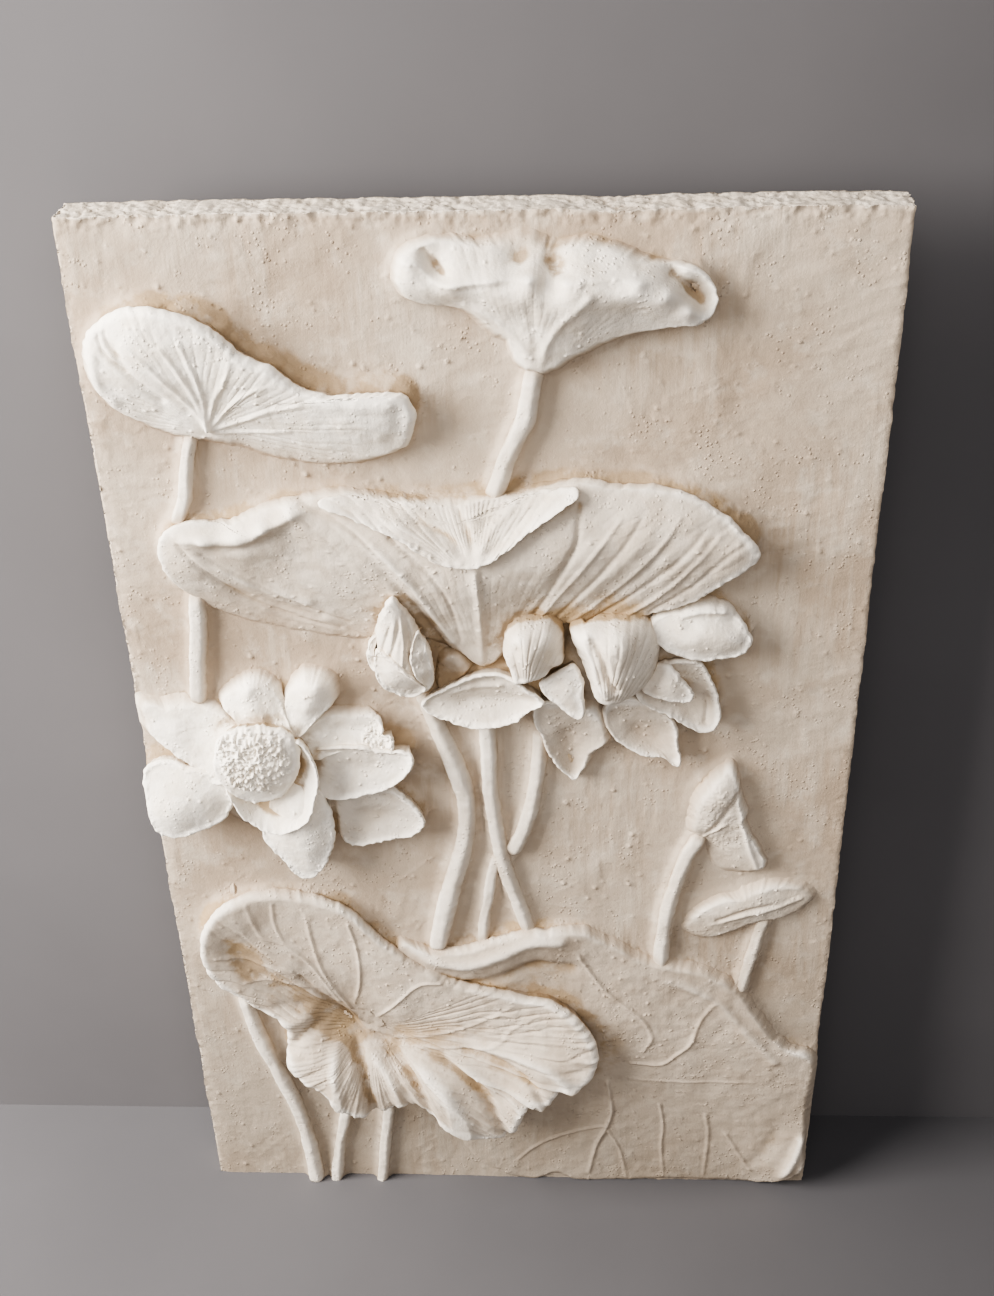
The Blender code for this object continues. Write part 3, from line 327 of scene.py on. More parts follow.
    ], inside=[
        (-13, -3, 11), (8, 9, 11), (30, 10, 9), (-35, -17, 9),
    ]),
    "leaf_i": dict(middle=(101, -322), rim=[
        (-199, 151, 10), (-179, 147, 12), (-166, 143, 13), (-147, 145, 14), (-129, 149, 14),
        (-110, 158, 15), (-92, 165, 15), (-77, 170, 15), (-60, 170, 15), (-45, 172, 14), (-27, 170, 13),
        (-9, 160, 12), (9, 149, 12), (28, 136, 12), (48, 131, 12), (81, 123, 12), (100, 113, 12),
        (120, 97, 12), (136, 70, 12), (153, 42, 12), (172, 21, 12), (197, 4, 12), (198, -63, 9),
        (196, -118, 12), (196, -148, 14), (179, -169, 12), (159, -178, 8), (135, -178, 4), (95, -179, 3),
        (44, -180, 3), (-25, -184, 4), (-53, -172, 4), (-84, -183, 3), (-120, -167, 2), (-144, -137, 2),
        (-167, -78, 2), (-201, 21, 4), (-201, 98, 8),
    ], inside=[
        (-166, 134, 15), (-139, 128, 16), (-120, 129, 16), (-97, 141, 17), (-74, 156, 17), (-51, 158, 16),
        (-159, 98, 8), (-122, 92, 8), (-75, 125, 9), (-38, 127, 10), (-1, 103, 11), (28, 58, 11),
        (64, 84, 10), (103, 46, 11), (154, -13, 11), (126, -35, 10), (77, -9, 10), (30, -23, 10),
        (-8, -70, 7), (51, -97, 7), (111, -111, 7), (159, -93, 9), (-58, -133, 4), (13, -146, 4),
        (93, -151, 5), (174, -132, 13), (-105, -2, 6), (-48, -73, 5), (-138, -91, 3),
    ]),
    "leaf_j": dict(middle=(-126, -278), rim=[
        (-101, 165, 15), (-81, 168, 14), (-54, 166, 14), (-30, 160, 15), (-8, 147, 16), (12, 122, 17),
        (28, 105, 18), (44, 91, 19), (66, 77, 20), (93, 62, 20), (122, 55, 20), (149, 46, 21),
        (173, 42, 23), (192, 30, 26), (206, 14, 29), (215, -5, 33), (216, -23, 36), (209, -40, 39),
        (198, -51, 41), (184, -47, 42), (176, -60, 44), (166, -72, 46), (157, -65, 47), (146, -82, 46),
        (139, -105, 43), (127, -120, 38), (111, -123, 38), (97, -118, 42), (78, -108, 48), (61, -95, 47),
        (46, -82, 41), (27, -84, 36), (5, -92, 38), (-16, -91, 44), (-33, -78, 47), (-50, -61, 44),
        (-69, -48, 38), (-81, -32, 33), (-80, -12, 29), (-79, 7, 25), (-90, 23, 23), (-108, 34, 23),
        (-120, 50, 25), (-135, 64, 26), (-146, 85, 27), (-149, 107, 27), (-143, 131, 26), (-131, 149, 23),
        (-116, 159, 19),
    ], inside=[
        (-133, 121, 22), (-126, 101, 20), (-109, 136, 18), (-91, 138, 13), (-65, 130, 11), (-105, 92, 17),
        (-89, 64, 20), (-68, 94, 12), (-38, 125, 12), (-42, 81, 11), (-62, 63, 12), (-98, 46, 22),
        (-37, 33, 8), (-24, 13, 7), (-9, -7, 7), (27, -18, 9), (-13, 89, 13), (13, 59, 14), (49, 36, 16),
        (29, 20, 13), (86, 22, 18), (124, 22, 20), (161, 20, 24), (189, 1, 31), (-55, 29, 17),
        (-66, -6, 28), (-47, -20, 33), (-24, -39, 40), (-7, -56, 37), (12, -53, 33), (37, -51, 35),
        (61, -62, 43), (84, -71, 41), (108, -63, 35), (127, -63, 35), (146, -54, 42), (75, -28, 24),
        (113, -25, 26), (152, -17, 33), (27, -31, 22), (-11, -25, 22), (-34, -7, 20), (66, -5, 14),
        (104, -6, 19), (194, -31, 38), (170, -35, 41),
    ]),
    "petal_lower": dict(middle=(-166, -19), rim=[
        (-36, -14, 24), (-21, -37, 28), (-11, -52, 30), (1, -59, 30), (15, -48, 30), (26, -21, 28),
        (28, -2, 26), (25, 19, 25), (17, 35, 24), (-7, 35, 24), (-28, 11, 24),
    ], inside=[
        (7, -19, 37), (6, 7, 36), (2, 25, 32),
    ]),
    "petal_lower_left": dict(middle=(-260, 16), rim=[
        (34, -3, 28), (33, -20, 28), (26, -30, 30), (13, -37, 32), (-3, -43, 34), (-17, -46, 34),
        (-31, -40, 33), (-36, -26, 31), (-37, -8, 28), (-38, 9, 24), (-35, 20, 20), (-24, 25, 19),
        (-10, 26, 20), (2, 22, 24), (15, 15, 27), (25, 6, 28),
    ], inside=[
        (-15, -15, 39), (-22, 0, 32), (-1, -2, 35), (15, -8, 34), (-9, 15, 27), (-28, -15, 35),
    ]),
    "petal_left": dict(middle=(-257, 71), rim=[
        (-41, 22, 6), (-21, 23, 8), (-12, 27, 9), (4, 28, 10), (19, 24, 12), (34, 17, 15), (48, 7, 20),
        (38, -12, 26), (23, -44, 28), (12, -41, 25), (-2, -31, 21), (-13, -23, 18), (-24, -14, 15),
        (-36, -7, 11), (-41, 4, 8),
    ], inside=[
        (-21, 9, 13), (-11, -2, 19), (1, 14, 13), (12, -3, 17), (25, -10, 21), (-29, 15, 9),
    ]),
    "petal_upper_left": dict(middle=(-193, 105), rim=[
        (-35, -7, 11), (-31, 1, 10), (-21, 12, 8), (-7, 20, 8), (5, 19, 9), (14, 12, 11), (20, 0, 14),
        (23, -12, 17), (27, -20, 21), (29, -29, 26), (9, -28, 26), (-9, -26, 24), (-25, -15, 18),
    ], inside=[
        (-6, 10, 19), (5, 1, 21), (-14, -5, 20), (7, -14, 25),
    ]),
    "petal_upper_right": dict(middle=(-148, 110), rim=[
        (-14, -33, 24), (-19, -18, 18), (-22, -6, 14), (-21, 4, 10), (-14, 14, 8), (-4, 20, 7), (8, 18, 8),
        (18, 13, 9), (22, 4, 10), (21, -7, 12), (15, -15, 15), (7, -21, 18), (-1, -28, 21), (-8, -35, 23),
    ], inside=[
        (-7, 5, 19), (7, 11, 20), (9, -4, 21), (-4, -12, 23),
    ]),
    "petal_right_upper": dict(middle=(-119, 70), rim=[
        (-36, 0, 22), (-28, 10, 16), (-18, 17, 13), (-8, 18, 11), (8, 17, 11), (19, 15, 13), (27, 9, 15),
        (29, 3, 17), (26, -3, 18), (34, -1, 19), (37, -8, 20), (35, -17, 20), (24, -15, 20), (7, -15, 20),
        (-9, -17, 20), (-25, -21, 21),
    ], inside=[
        (-8, 1, 14), (8, 3, 14), (-21, -8, 18),
    ]),
    "petal_right_mid": dict(middle=(-111, 34), rim=[
        (-32, 17, 20), (-18, 23, 21), (1, 26, 22), (20, 22, 23), (35, 23, 25), (43, 20, 27), (44, 10, 28),
        (37, -2, 28), (28, -11, 28), (14, -18, 27), (-2, -24, 26), (-20, -28, 25), (-31, -27, 24),
        (-34, -10, 22),
    ], inside=[
        (-14, 0, 23), (7, 3, 24), (26, 10, 26), (8, -10, 26),
    ]),
    "petal_right_lower": dict(middle=(-102, -24), rim=[
        (-33, 19, 12), (-13, 27, 13), (12, 33, 14), (23, 27, 15), (34, 16, 17), (41, 2, 19), (38, -6, 19),
        (28, -15, 18), (10, -20, 17), (-10, -26, 16), (-27, -27, 15), (-34, -18, 14), (-36, -2, 12),
    ], inside=[
        (-16, -1, 12), (6, 5, 13), (24, 2, 16),
    ]),
}

# Each stem's width and height, and its path. The last is a broken stub.
STEMS = {
    "a": ((10, 10), [(-220, 333), (-224, 320), (-228, 300), (-232, 281), (-240, 262)]),
    "b": ((14, 12), [(38, 384), (34, 364), (31, 348), (24, 332), (17, 316), (12, 301), (6, 284)]),
    "c_to_d": ((13, 11), [(-233, 196), (-236, 166), (-240, 138), (-245, 96)]),
    "bud": ((16, 12), [
        (-56, 103), (-48, 74), (-36, 36), (-27, -1), (-26, -28), (-28, -50), (-33, -73), (-42, -105),
        (-50, -138), (-58, -177),
    ]),
    "mid": ((13, 11), [(-6, 71), (-5, 38), (-5, 6), (-2, -26), (2, -60), (8, -92), (17, -123), (28, -163)]),
    "fork": ((10, 8), [(0, -71), (-6, -94), (-10, -120), (-14, -146), (-16, -178)]),
    "hook": ((13, 10), [(39, 63), (37, 32), (33, 0), (29, -21), (22, -44), (13, -64)]),
    "g": ((13, 10), [
        (175, -49), (166, -68), (159, -93), (153, -119), (149, -143), (147, -171), (146, -204),
    ]),
    "h": ((12, 8), [(237, -143), (233, -165), (229, -187), (225, -208), (221, -230)]),
    "j_left": ((14, 11), [
        (-244, -246), (-234, -302), (-219, -352), (-207, -400), (-200, -450), (-197, -514),
    ]),
    "j_mid": ((11, 9), [(-159, -398), (-169, -447), (-179, -516)]),
    "j_right": ((11, 9), [(-116, -394), (-123, -446), (-131, -515)]),
    "stub": ((6, 5), [(-240, -112), (-239, -124), (-237, -140)]),
}
BARE_STEMS = ("stub",)

# Carved lines of each form: width, rise, and path as x and z.
LINES = {
    "leaf_a": [
        (3.0, 2.2, [(-22, -21), (-32, 0), (-47, 21), (-60, 37), (-72, 49)]),
        (3.0, 2.2, [(-22, -21), (-27, 7), (-35, 30), (-45, 47)]),
        (2.6, 2.0, [(-22, -21), (-21, 7), (-25, 33), (-30, 51)]),
        (2.6, 2.0, [(-21, -21), (-13, 3), (-2, 21), (4, 36)]),
        (2.6, 1.8, [(-20, -22), (-3, -3), (12, 10), (27, 17)]),
        (2.6, 1.8, [(-19, -23), (4, -15), (28, -4), (51, 2)]),
        (2.6, 1.6, [(-19, -25), (9, -25), (40, -23)]),
        (2.0, -1.8, [(-91, 54), (-89, 44), (-82, 34), (-74, 28)]),
        (2.0, -1.5, [(-85, 57), (-83, 46), (-75, 37)]),
    ],
    "leaf_b": [
        (4.0, 3.0, [
            (-92, 21), (-81, 22), (-73, 17), (-68, 10), (-59, 8), (-34, 11), (-17, 13), (7, 13), (21, 11),
            (48, 13), (79, 11), (93, 7), (100, 1), (108, -8), (116, -16), (122, -20),
        ]),
        (4.0, -4.0, [(-74, 27), (-68, 20), (-62, 14), (-58, 12)]),
        (3.0, -2.0, [(14, 19), (22, 15), (30, 14)]),
        (4.0, -5.0, [(98, 8), (109, 1), (118, -8), (123, -14)]),
    ],
    "leaf_c": [
        (5.0, 3.0, [
            (-198, 13), (-184, 10), (-168, 13), (-158, 17), (-149, 24), (-138, 29), (-126, 36), (-110, 39),
        ]),
        (2.5, -2.2, [(-218, 7), (-204, -13), (-177, -43), (-140, -64), (-101, -76)]),
        (2.2, -1.6, [(-201, -1), (-174, -22), (-131, -52), (-92, -69)]),
        (2.6, -2.0, [(-121, 42), (-83, 22), (-47, -18), (-20, -72), (0, -105)]),
        (2.4, -1.6, [(-53, 16), (-16, -26), (-3, -84)]),
        (4.0, 3.0, [(11, -11), (13, -47), (13, -102)]),
        (2.8, -2.6, [(91, 41), (89, 17), (82, -1), (64, -40), (40, -83)]),
        (2.2, 1.8, [(52, -74), (72, -41), (99, 0), (122, 32)]),
        (2.2, -1.6, [(64, -73), (87, -42), (117, -1), (137, 31)]),
        (2.2, 1.6, [(83, -67), (114, -37), (144, -1), (166, 31)]),
        (2.2, -1.5, [(99, -65), (130, -39), (163, -6), (185, 21)]),
        (2.4, 1.8, [(127, -60), (153, -38), (178, -7), (197, 18)]),
        (2.4, -1.6, [(146, -56), (176, -30), (200, -2), (215, 9)]),
    ],
    "leaf_i": [
        (2.4, 1.8, [(-29, 137), (-18, 116), (-5, 95), (13, 76), (29, 60), (37, 44), (39, 31), (32, 16)]),
        (2.4, 1.6, [(21, 0), (48, -1), (63, 11), (76, 27), (84, 56), (97, 81)]),
        (2.0, 0.8, [(20, -22), (78, -25), (140, -25)]),
        (2.6, 2.2, [(-2, -28), (3, -66), (-2, -94), (-12, -125), (-19, -165)]),
        (2.0, 1.4, [(-3, -92), (-43, -108), (-71, -126), (-91, -149)]),
        (2.0, 1.4, [(0, -100), (12, -130), (19, -171)]),
        (2.0, 1.4, [(50, -59), (54, -90), (53, -122), (57, -169)]),
        (2.0, 1.4, [(95, -73), (99, -105), (97, -167)]),
        (2.0, 1.4, [(116, -100), (132, -133), (143, -154)]),
    ],
    "leaf_j": [
        (2.6, 1.6, [(-19, 20), (-38, 66), (-46, 105), (-50, 147)]),
        (2.6, 1.6, [(-28, 31), (-50, 80), (-71, 105), (-91, 117), (-98, 138), (-102, 156)]),
        (2.2, 1.2, [(22, -16), (66, -4), (101, 14), (134, 38)]),
        (2.2, 1.2, [(27, -21), (94, -15), (123, -6), (134, 11), (161, 30)]),
        (3.0, -3.0, [(-62, 66), (-37, 32), (-23, 12), (-9, -8), (27, -19)]),
        (2.2, -1.4, [(0, -10), (25, -26), (48, -43), (65, -76)]),
    ],
    "leaf_g": [
        (2.0, 2.0, [(-38, -25), (-28, -21), (-17, -24), (-7, -13), (4, -4)]),
    ],
    "leaf_h": [
        (3.0, -2.0, [(-27, -18), (-4, -5), (19, 2)]),
    ],
}

# Radial tool grooves: hub, how many in a turn, depth, where they start, first and last angle.
RAYS = {
    "leaf_a": ((-22, -23), 70, 0.7, 10, 0, 360),
    "leaf_b": ((1, -78), 90, 0.5, 30, 40, 150),
    "leaf_c": ((14, -134), 110, 0.5, 30, 0, 180),
    "drape": ((15, -40), 96, 1.3, 12, 0, 180),
    "leaf_j": ((0, -11), 92, 1.3, 14, 125, 395),
    "curl_1": ((-8, -51), 60, 1.2, 8, 20, 160),
    "curl_2": ((-8, -66), 72, 1.3, 10, 20, 150),
    "bud": ((-9, -71), 40, 0.8, 10, 20, 160),
}

# Folds of each form, softer and deeper than its lines: width, rise, and path.
FOLDS = {
    "leaf_j": [
        (17.0, -8.0, [(-124, 139), (-115, 96), (-87, 58), (-51, 23), (-20, 0)]),
        (6.5, -8.0, [(-20, -3), (-9, -36), (0, -90)]),
        (6.5, -8.0, [(7, -19), (39, -46), (58, -92)]),
        (6.5, -7.0, [(46, -18), (99, -52), (128, -116)]),
        (5.0, -4.0, [(66, -12), (142, -34), (168, -71)]),
        (7.0, -3.5, [(-38, 12), (-66, -1), (-86, -25)]),
        (6.0, -1.8, [(-48, 29), (-78, 33), (-103, 32)]),
        (8.0, 5.0, [(-29, -2), (-34, -30), (-33, -76)]),
        (7.0, 5.0, [(-7, -15), (19, -50), (27, -84)]),
        (9.0, 6.0, [(27, -25), (70, -55), (89, -109)]),
        (7.0, 4.5, [(66, -20), (122, -58), (145, -79)]),
        (6.0, 3.5, [(75, -9), (161, -22), (191, -48)]),
        (7.0, 3.5, [(-45, 21), (-72, 17), (-95, 8)]),
        (2.2, 1.5, [(-18, 15), (-7, 55), (-5, 97), (-11, 134)]),
        (2.2, 1.5, [(0, 0), (31, 42), (51, 64), (70, 67)]),
        (2.2, 1.5, [(-37, 33), (-70, 71), (-105, 87), (-135, 97)]),
        (2.0, 1.3, [(-45, 48), (-80, 62), (-111, 66)]),
        (2.0, 1.2, [(95, 14), (124, 28), (143, 24), (166, 10)]),
        (2.0, 1.2, [(-71, 105), (-79, 130), (-79, 155)]),
    ],
    "leaf_a": [
        (6.0, 3.0, [(-93, 51), (-98, 34), (-98, 15), (-88, 0)]),
        (5.0, -3.0, [(-81, 61), (-80, 45), (-72, 26), (-52, 4)]),
        (7.0, -1.4, [(119, 7), (123, -10), (116, -33)]),
        (8.0, 2.5, [(52, 3), (84, 4), (113, 1)]),
    ],
    "leaf_c": [
        (6.0, 4.0, [(-226, 7), (-208, 13), (-188, 15), (-168, 19), (-150, 26)]),
        (8.0, -2.6, [(-214, -5), (-193, 3), (-173, 7), (-151, 11), (-129, 23)]),
        (6.0, 2.5, [(-210, -7), (-182, -21), (-153, -38), (-122, -48)]),
        (5.0, -2.0, [(-208, -17), (-180, -37), (-147, -54), (-116, -63)]),
        (5.0, -3.0, [(-80, 11), (-51, -24), (-31, -62), (-13, -100)]),
        (6.0, 3.0, [(-91, 26), (-58, -1), (-33, -36), (-11, -83)]),
        (5.0, -1.6, [(106, 31), (83, 1), (64, -29), (44, -56)]),
        (6.0, 1.5, [(154, 34), (136, 12), (114, -15), (87, -47)]),
        (5.0, -1.4, [(173, 30), (155, 8), (133, -21), (107, -48)]),
        (5.0, 1.2, [(192, 22), (174, 0), (152, -27)]),
    ],
    "drape": [
        (4.0, -2.5, [(11, -26), (0, -12), (-23, 1), (-46, 12)]),
        (4.0, -2.0, [(14, -26), (11, -9), (5, 4), (0, 12)]),
        (4.0, -2.0, [(17, -26), (34, -10), (49, 4), (68, 20)]),
        (4.0, 2.0, [(16, -26), (23, -8), (34, 5), (45, 15)]),
        (4.0, 2.0, [(9, -26), (-8, -16), (-34, -2), (-57, 8)]),
    ],
    "leaf_b": [
        (6.0, -2.0, [(95, 7), (108, 0), (118, -11)]),
        (4.0, 2.0, [(6, -64), (10, -42), (21, -21), (41, 1)]),
        (4.0, 2.0, [(2, -60), (-8, -40), (-25, -22), (-46, -10)]),
        (5.0, -1.5, [(5, -56), (3, -34), (0, -8)]),
    ],
    "bud": [
        (2.2, -2.4, [(-1, 37), (-4, 18), (-9, -1), (-17, -22)]),
        (2.2, -2.4, [(2, 36), (5, 16), (5, -1), (6, -18)]),
        (2.2, -2.0, [(-7, 30), (-13, 11), (-18, -6)]),
        (2.0, 1.6, [(-2, 37), (1, 13), (-1, -10)]),
    ],
    "curl_2": [
        (4.0, 3.5, [(-33, 15), (-27, 6), (-21, -8), (-18, -24), (-10, -37)]),
        (3.5, -5.0, [(-23, 18), (-18, 8), (-12, -3), (-9, -18), (-3, -30)]),
    ],
    "curl_1": [
        (4.0, -2.5, [(-10, 8), (-14, -10), (-11, -32)]),
    ],
    "petal_ur": [
        (4.0, 3.0, [(-26, 8), (-4, 15), (15, 14)]),
        (8.0, -4.0, [(-20, 2), (0, 7), (21, 4)]),
    ],
    "petal_r": [
        (3.0, -2.0, [(15, 11), (18, -4), (17, -19)]),
    ],
    "petal_d1": [
        (10.0, -2.5, [(-12, 24), (-5, 1), (0, -22)]),
    ],
    "petal_d2": [
        (10.0, -2.5, [(-16, 9), (0, -6), (20, -17)]),
    ],
    "boat": [
        (9.0, -3.5, [(-33, -4), (-8, -1), (17, 0), (37, 0)]),
        (4.0, 2.0, [(-36, 6), (-12, 14), (13, 17)]),
    ],
    "petal_left": [
        (12.0, -2.5, [(-29, 15), (-4, 2), (20, -17)]),
    ],
    "petal_right_mid": [
        (12.0, -3.0, [(-22, 7), (3, 5), (29, 8)]),
    ],
    "petal_right_upper": [
        (10.0, -2.5, [(-21, -2), (0, 1), (21, 1)]),
    ],
    "petal_right_lower": [
        (12.0, -3.0, [(-24, 4), (2, 5), (23, 0)]),
    ],
    "petal_upper_left": [
        (10.0, -2.5, [(-8, 9), (3, -3), (12, -19)]),
    ],
    "cup": [
        (6.0, -3.0, [(35, 28), (29, 2), (10, -15), (-11, -15)]),
    ],
    "leaf_g": [
        (3.0, -2.5, [(-17, -28), (-6, -8), (4, 11), (12, 29)]),
        (3.0, 2.0, [(9, 35), (16, 7), (24, -27), (33, -54)]),
    ],
    "leaf_h": [
        (3.0, 1.5, [(-43, -29), (-13, -13), (22, -2), (44, 8)]),
    ],
    "leaf_i": [
        (8.0, 4.0, [(-193, 144), (-166, 136), (-134, 130), (-106, 141), (-74, 159), (-47, 160)]),
        (9.0, -3.5, [(-177, 106), (-140, 100), (-102, 110), (-70, 124), (-38, 122)]),
        (7.0, 2.5, [(26, 121), (63, 104), (96, 85), (126, 47), (157, 5)]),
        (6.0, 5.0, [(169, -168), (182, -138), (191, -105)]),
        (9.0, -1.5, [(139, -155), (157, -120), (168, -85)]),
    ],
}

# The plaster's colours.
GROUND_COLOURS = ((0.45, 0.355, 0.265), (0.54, 0.45, 0.355))
MOTTLED_COLOUR = (0.70, 0.62, 0.52)
STREAK_COLOUR = (0.68, 0.60, 0.50)
# Painted shade: the ground grows darker towards the bottom of the panel.
LOW_SHADE_COLOUR = (0.27, 0.23, 0.185)
DULL_COLOURS = ((0.54, 0.455, 0.365), (0.47, 0.385, 0.30))
PALE_COLOURS = ((0.90, 0.84, 0.745), (0.80, 0.725, 0.62))
# Paler where a point stands above its surroundings.
RIDGE_COLOUR = (0.92, 0.87, 0.785)
# Brown dirt mixed with painted shade, in creases, hollows and just above the forms.
DIRT_AND_SHADE_COLOUR = (0.35, 0.255, 0.16)
OCHRE_COLOUR = (0.55, 0.38, 0.19)

# The stage in metres: how far it reaches to the sides, to the front and up, and where its wall stands.
STAGE_WIDE = 5.0
STAGE_DEEP = 4.0
STAGE_HIGH = 4.0
WALL_AT = 0.05
FLOOR_COLOUR = (0.138, 0.133, 0.138)
WALL_COLOUR = (0.165, 0.157, 0.16)

# Each lamp's place, its width and height, power and colour. They point at the middle of the panel's back.
LAMPS = {
    "key": ((-1.95, -0.85, 1.15), (1.3, 1.8), 146.0, (1.0, 0.97, 0.93)),
    "fill": ((0.3, -2.6, 1.9), (2.5, 2.0), 34.0, (1.0, 0.98, 0.96)),
}
SKY_COLOUR = (0.80, 0.80, 0.84, 1.0)
SKY_STRENGTH = 0.36

# The photo's view: place in metres, yaw, pitch and roll in degrees, focal length by the picture's long side.
CAMERA_AT = (0.0639, -1.0758 - SLAB_THICK * MM, 0.8253)
CAMERA_TURNS = (-3.17, 32.35, -1.72)
FOCAL_SHARE = 1575.0 / 1296.0
SENSOR = 36.0


def smooth_loop(rows, count, closed=True):
    """Points evenly spaced along a soft curve through the rows."""
    rows = np.array(rows, float)
    steps = np.linspace(0.0, 1.0, CURVE_STEPS, endpoint=False)[:, None]
    pieces = []
    last = len(rows) if closed else len(rows) - 1
    for i in range(last):
        if closed:
            a, b, c, d = (rows[(i + k) % len(rows)] for k in (-1, 0, 1, 2))
        else:
            a, b, c, d = (rows[min(max(i + k, 0), len(rows) - 1)] for k in (-1, 0, 1, 2))
        cubic = 2 * b + (c - a) * steps + (2 * a - 5 * b + 4 * c - d) * steps**2
        pieces.append(0.5 * (cubic + (3 * b - a - 3 * c + d) * steps**3))
    pieces.append(rows[:1] if closed else rows[-1:])
    line = np.concatenate(pieces)
    run = np.concatenate([[0.0], np.cumsum(np.hypot(*np.diff(line[:, :2], axis=0).T))])
    at = np.linspace(0.0, run[-1], count, endpoint=not closed)
    return np.column_stack([np.interp(at, run, column) for column in line.T])


def placed(name, rows):
    """A form's rows, moved from its middle to their places on the panel."""
    x, z = FORMS[name]["middle"]
    return [(x + row[0], z + row[1], *row[2:]) for row in rows]


def bending(squares):
    """The thin plate's bending term for squared distances."""
    return 0.5 * squares * np.log(np.maximum(squares, 1e-12))


def thin_plate(rows):
    """A smooth height field, like a bent thin plate, through rows of x, z, height."""
    rows = np.array(rows, float)
    at, heights = rows[:, :2], rows[:, 2]
    apart = ((at[:, None] - at[None]) ** 2).sum(axis=2)
    flat = np.column_stack([np.ones(len(at)), at])
    system = np.block([[bending(apart) + np.eye(len(at)), flat], [flat.T, np.zeros((3, 3))]])
    weights = np.linalg.solve(system, np.concatenate([heights, np.zeros(3)]))

    def height(x, z):
        found = weights[-3] + weights[-2] * x + weights[-1] * z
        for (px, pz), weight in zip(at, weights):
            found = found + weight * bending((x - px) ** 2 + (z - pz) ** 2)
        return found

    return height


def off_line(x, z, path):
    """Distance from each point to a path, and how far along it the nearest place is, 0 to 1."""
    path = np.array(path, float)
    best = np.full(np.shape(x), FAR)
    along = np.zeros(np.shape(x))
    lengths = np.hypot(*np.diff(path, axis=0).T)
    start = 0.0
    for (ax, az), (bx, bz), length in zip(path[:-1], path[1:], lengths):
        share = ((x - ax) * (bx - ax) + (z - az) * (bz - az)) / max(length**2, 1e-9)
        share = np.clip(share, 0.0, 1.0)
        off = np.hypot(x - ax - share * (bx - ax), z - az - share * (bz - az))
        nearer = off < best
        best = np.where(nearer, off, best)
        along = np.where(nearer, start + share * length, along)
        start += length
    return best, along / start


def carved(table, name):
    """The width, the rise and the soft path of each of a form's lines or folds."""
    return [
        (width, rise, smooth_loop(placed(name, path), PATH_POINTS, closed=False))
        for width, rise, path in table.get(name, ())
    ]


def form_surface(name):
    """The height of a form's face over the slab, with its carved lines."""
    plate = thin_plate(placed(name, FORMS[name]["rim"] + FORMS[name]["inside"]))
    lines = carved(LINES, name)

    def height(x, z):
        found = plate(x, z)
        for width, rise, path in lines:
            off, along = off_line(x, z, path)
            found = found + rise * np.exp(-((off / width) ** 2) * LINE_SHARP) * (1.0 - 0.5 * along**4)
        return found

    return height


def noise(x, z, size, seed):
    """Smooth random values from -1 to 1 that change over the given size."""
    x, z = np.asarray(x) / size, np.asarray(z) / size
    i, k = np.floor(x), np.floor(z)
    u, v = x - i, z - k
    u, v = u * u * (3 - 2 * u), v * v * (3 - 2 * v)

    def corner(a, b):
        value = np.sin(a * 127.1 + b * 311.7 + seed * 74.7) * 43758.5453
        return value - np.floor(value)

    low = corner(i, k) * (1 - u) + corner(i + 1, k) * u
    high = corner(i, k + 1) * (1 - u) + corner(i + 1, k + 1) * u
    return 2 * (low * (1 - v) + high * v) - 1


def layered(x, z, size, seed, layers=3):
    """Noise of several sizes added up."""
    total = sum(noise(x, z, size / 2.1**k, seed + 9 * k) * 0.5**k for k in range(layers))
    return total / 1.6


def step(low, high, value):
    """Soft step from 0 to 1."""
    share = np.clip((value - low) / (high - low), 0.0, 1.0)
    return share * share * (3 - 2 * share)


def grooves(name, x, z):
    """Fine radial grooves that a modelling tool leaves."""
    hub, count, depth, near, first, last = RAYS[name]
    hx, hz = placed(name, [hub])[0]
    away = np.hypot(x - hx, z - hz)
    turn = np.degrees(np.arctan2(z - hz, x - hx))
    turn = np.where(turn < first - 1e-6, turn + 360, turn)
    inside = step(first - 1, first + 8, turn) * (1 - step(last - 8, last + 1, turn))
    if last - first >= 360:
        inside = np.ones_like(x)
    wander = 2.2 * noise(turn * 1.0, away * 0.25, 9.0, 3)
    phase = np.radians(turn) * count / 2 + wander
    cut = np.exp(-((np.sin(phase) / 0.42) ** 2))
    fade = step(near, near * 2.6, away) * (0.55 + 0.45 * noise(turn * 0.7, away * 0.12, 6.0, 5))
    return -depth * cut * fade * inside


def edge_of(name, rim):
    """How soft the rim is at each place, 0 to 1, and how wide its rounding is."""
    soft = 1.0 - step(*SOFT_RIM, rim[:, 2])
    return soft, soft * SOFT_WIDE + (1.0 - soft) * ROUNDS.get(name, CRISP_WIDE)


def edged(name, surface, off, soft, edge):
    """The surface's height with its rim rounded, or flowing softly into the ground where the rim is low."""
    share = np.clip(off / edge, 0.0, 1.0)
    rise, width = LIPS.get(name, (0.0, 2.0))
    lip = np.exp(-(((off - 1.5) / width) ** 2)) - 0.8 * step(2.0, 9.0, off)
    surface = surface + rise * lip * (1.0 - soft)
    crisp = surface - edge * (1.0 - np.sqrt(1.0 - (1.0 - share) ** 2))
    flowing = (surface + 1.6) * share * share * (3 - 2 * share) - 1.6
    return crisp * (1.0 - soft) + flowing * soft


def ruffled(name, rim, middle):
    """How far each place on the rim bulges out beyond the rim's general line."""
    if name not in RUFFLES:
        return np.zeros(len(rim))
    gain, width, least = RUFFLES[name]
    reach = np.hypot(*(rim[:, :2] - middle).T)
    half = int(width / SPACING)
    weights = np.hanning(2 * half + 1)
    looped = np.concatenate([reach[-half:], reach, reach[:half]])
    smooth = np.convolve(looped, weights / weights.sum(), "valid")
    return gain * (reach - smooth) * step(least - 6, least + 4, rim[:, 2])


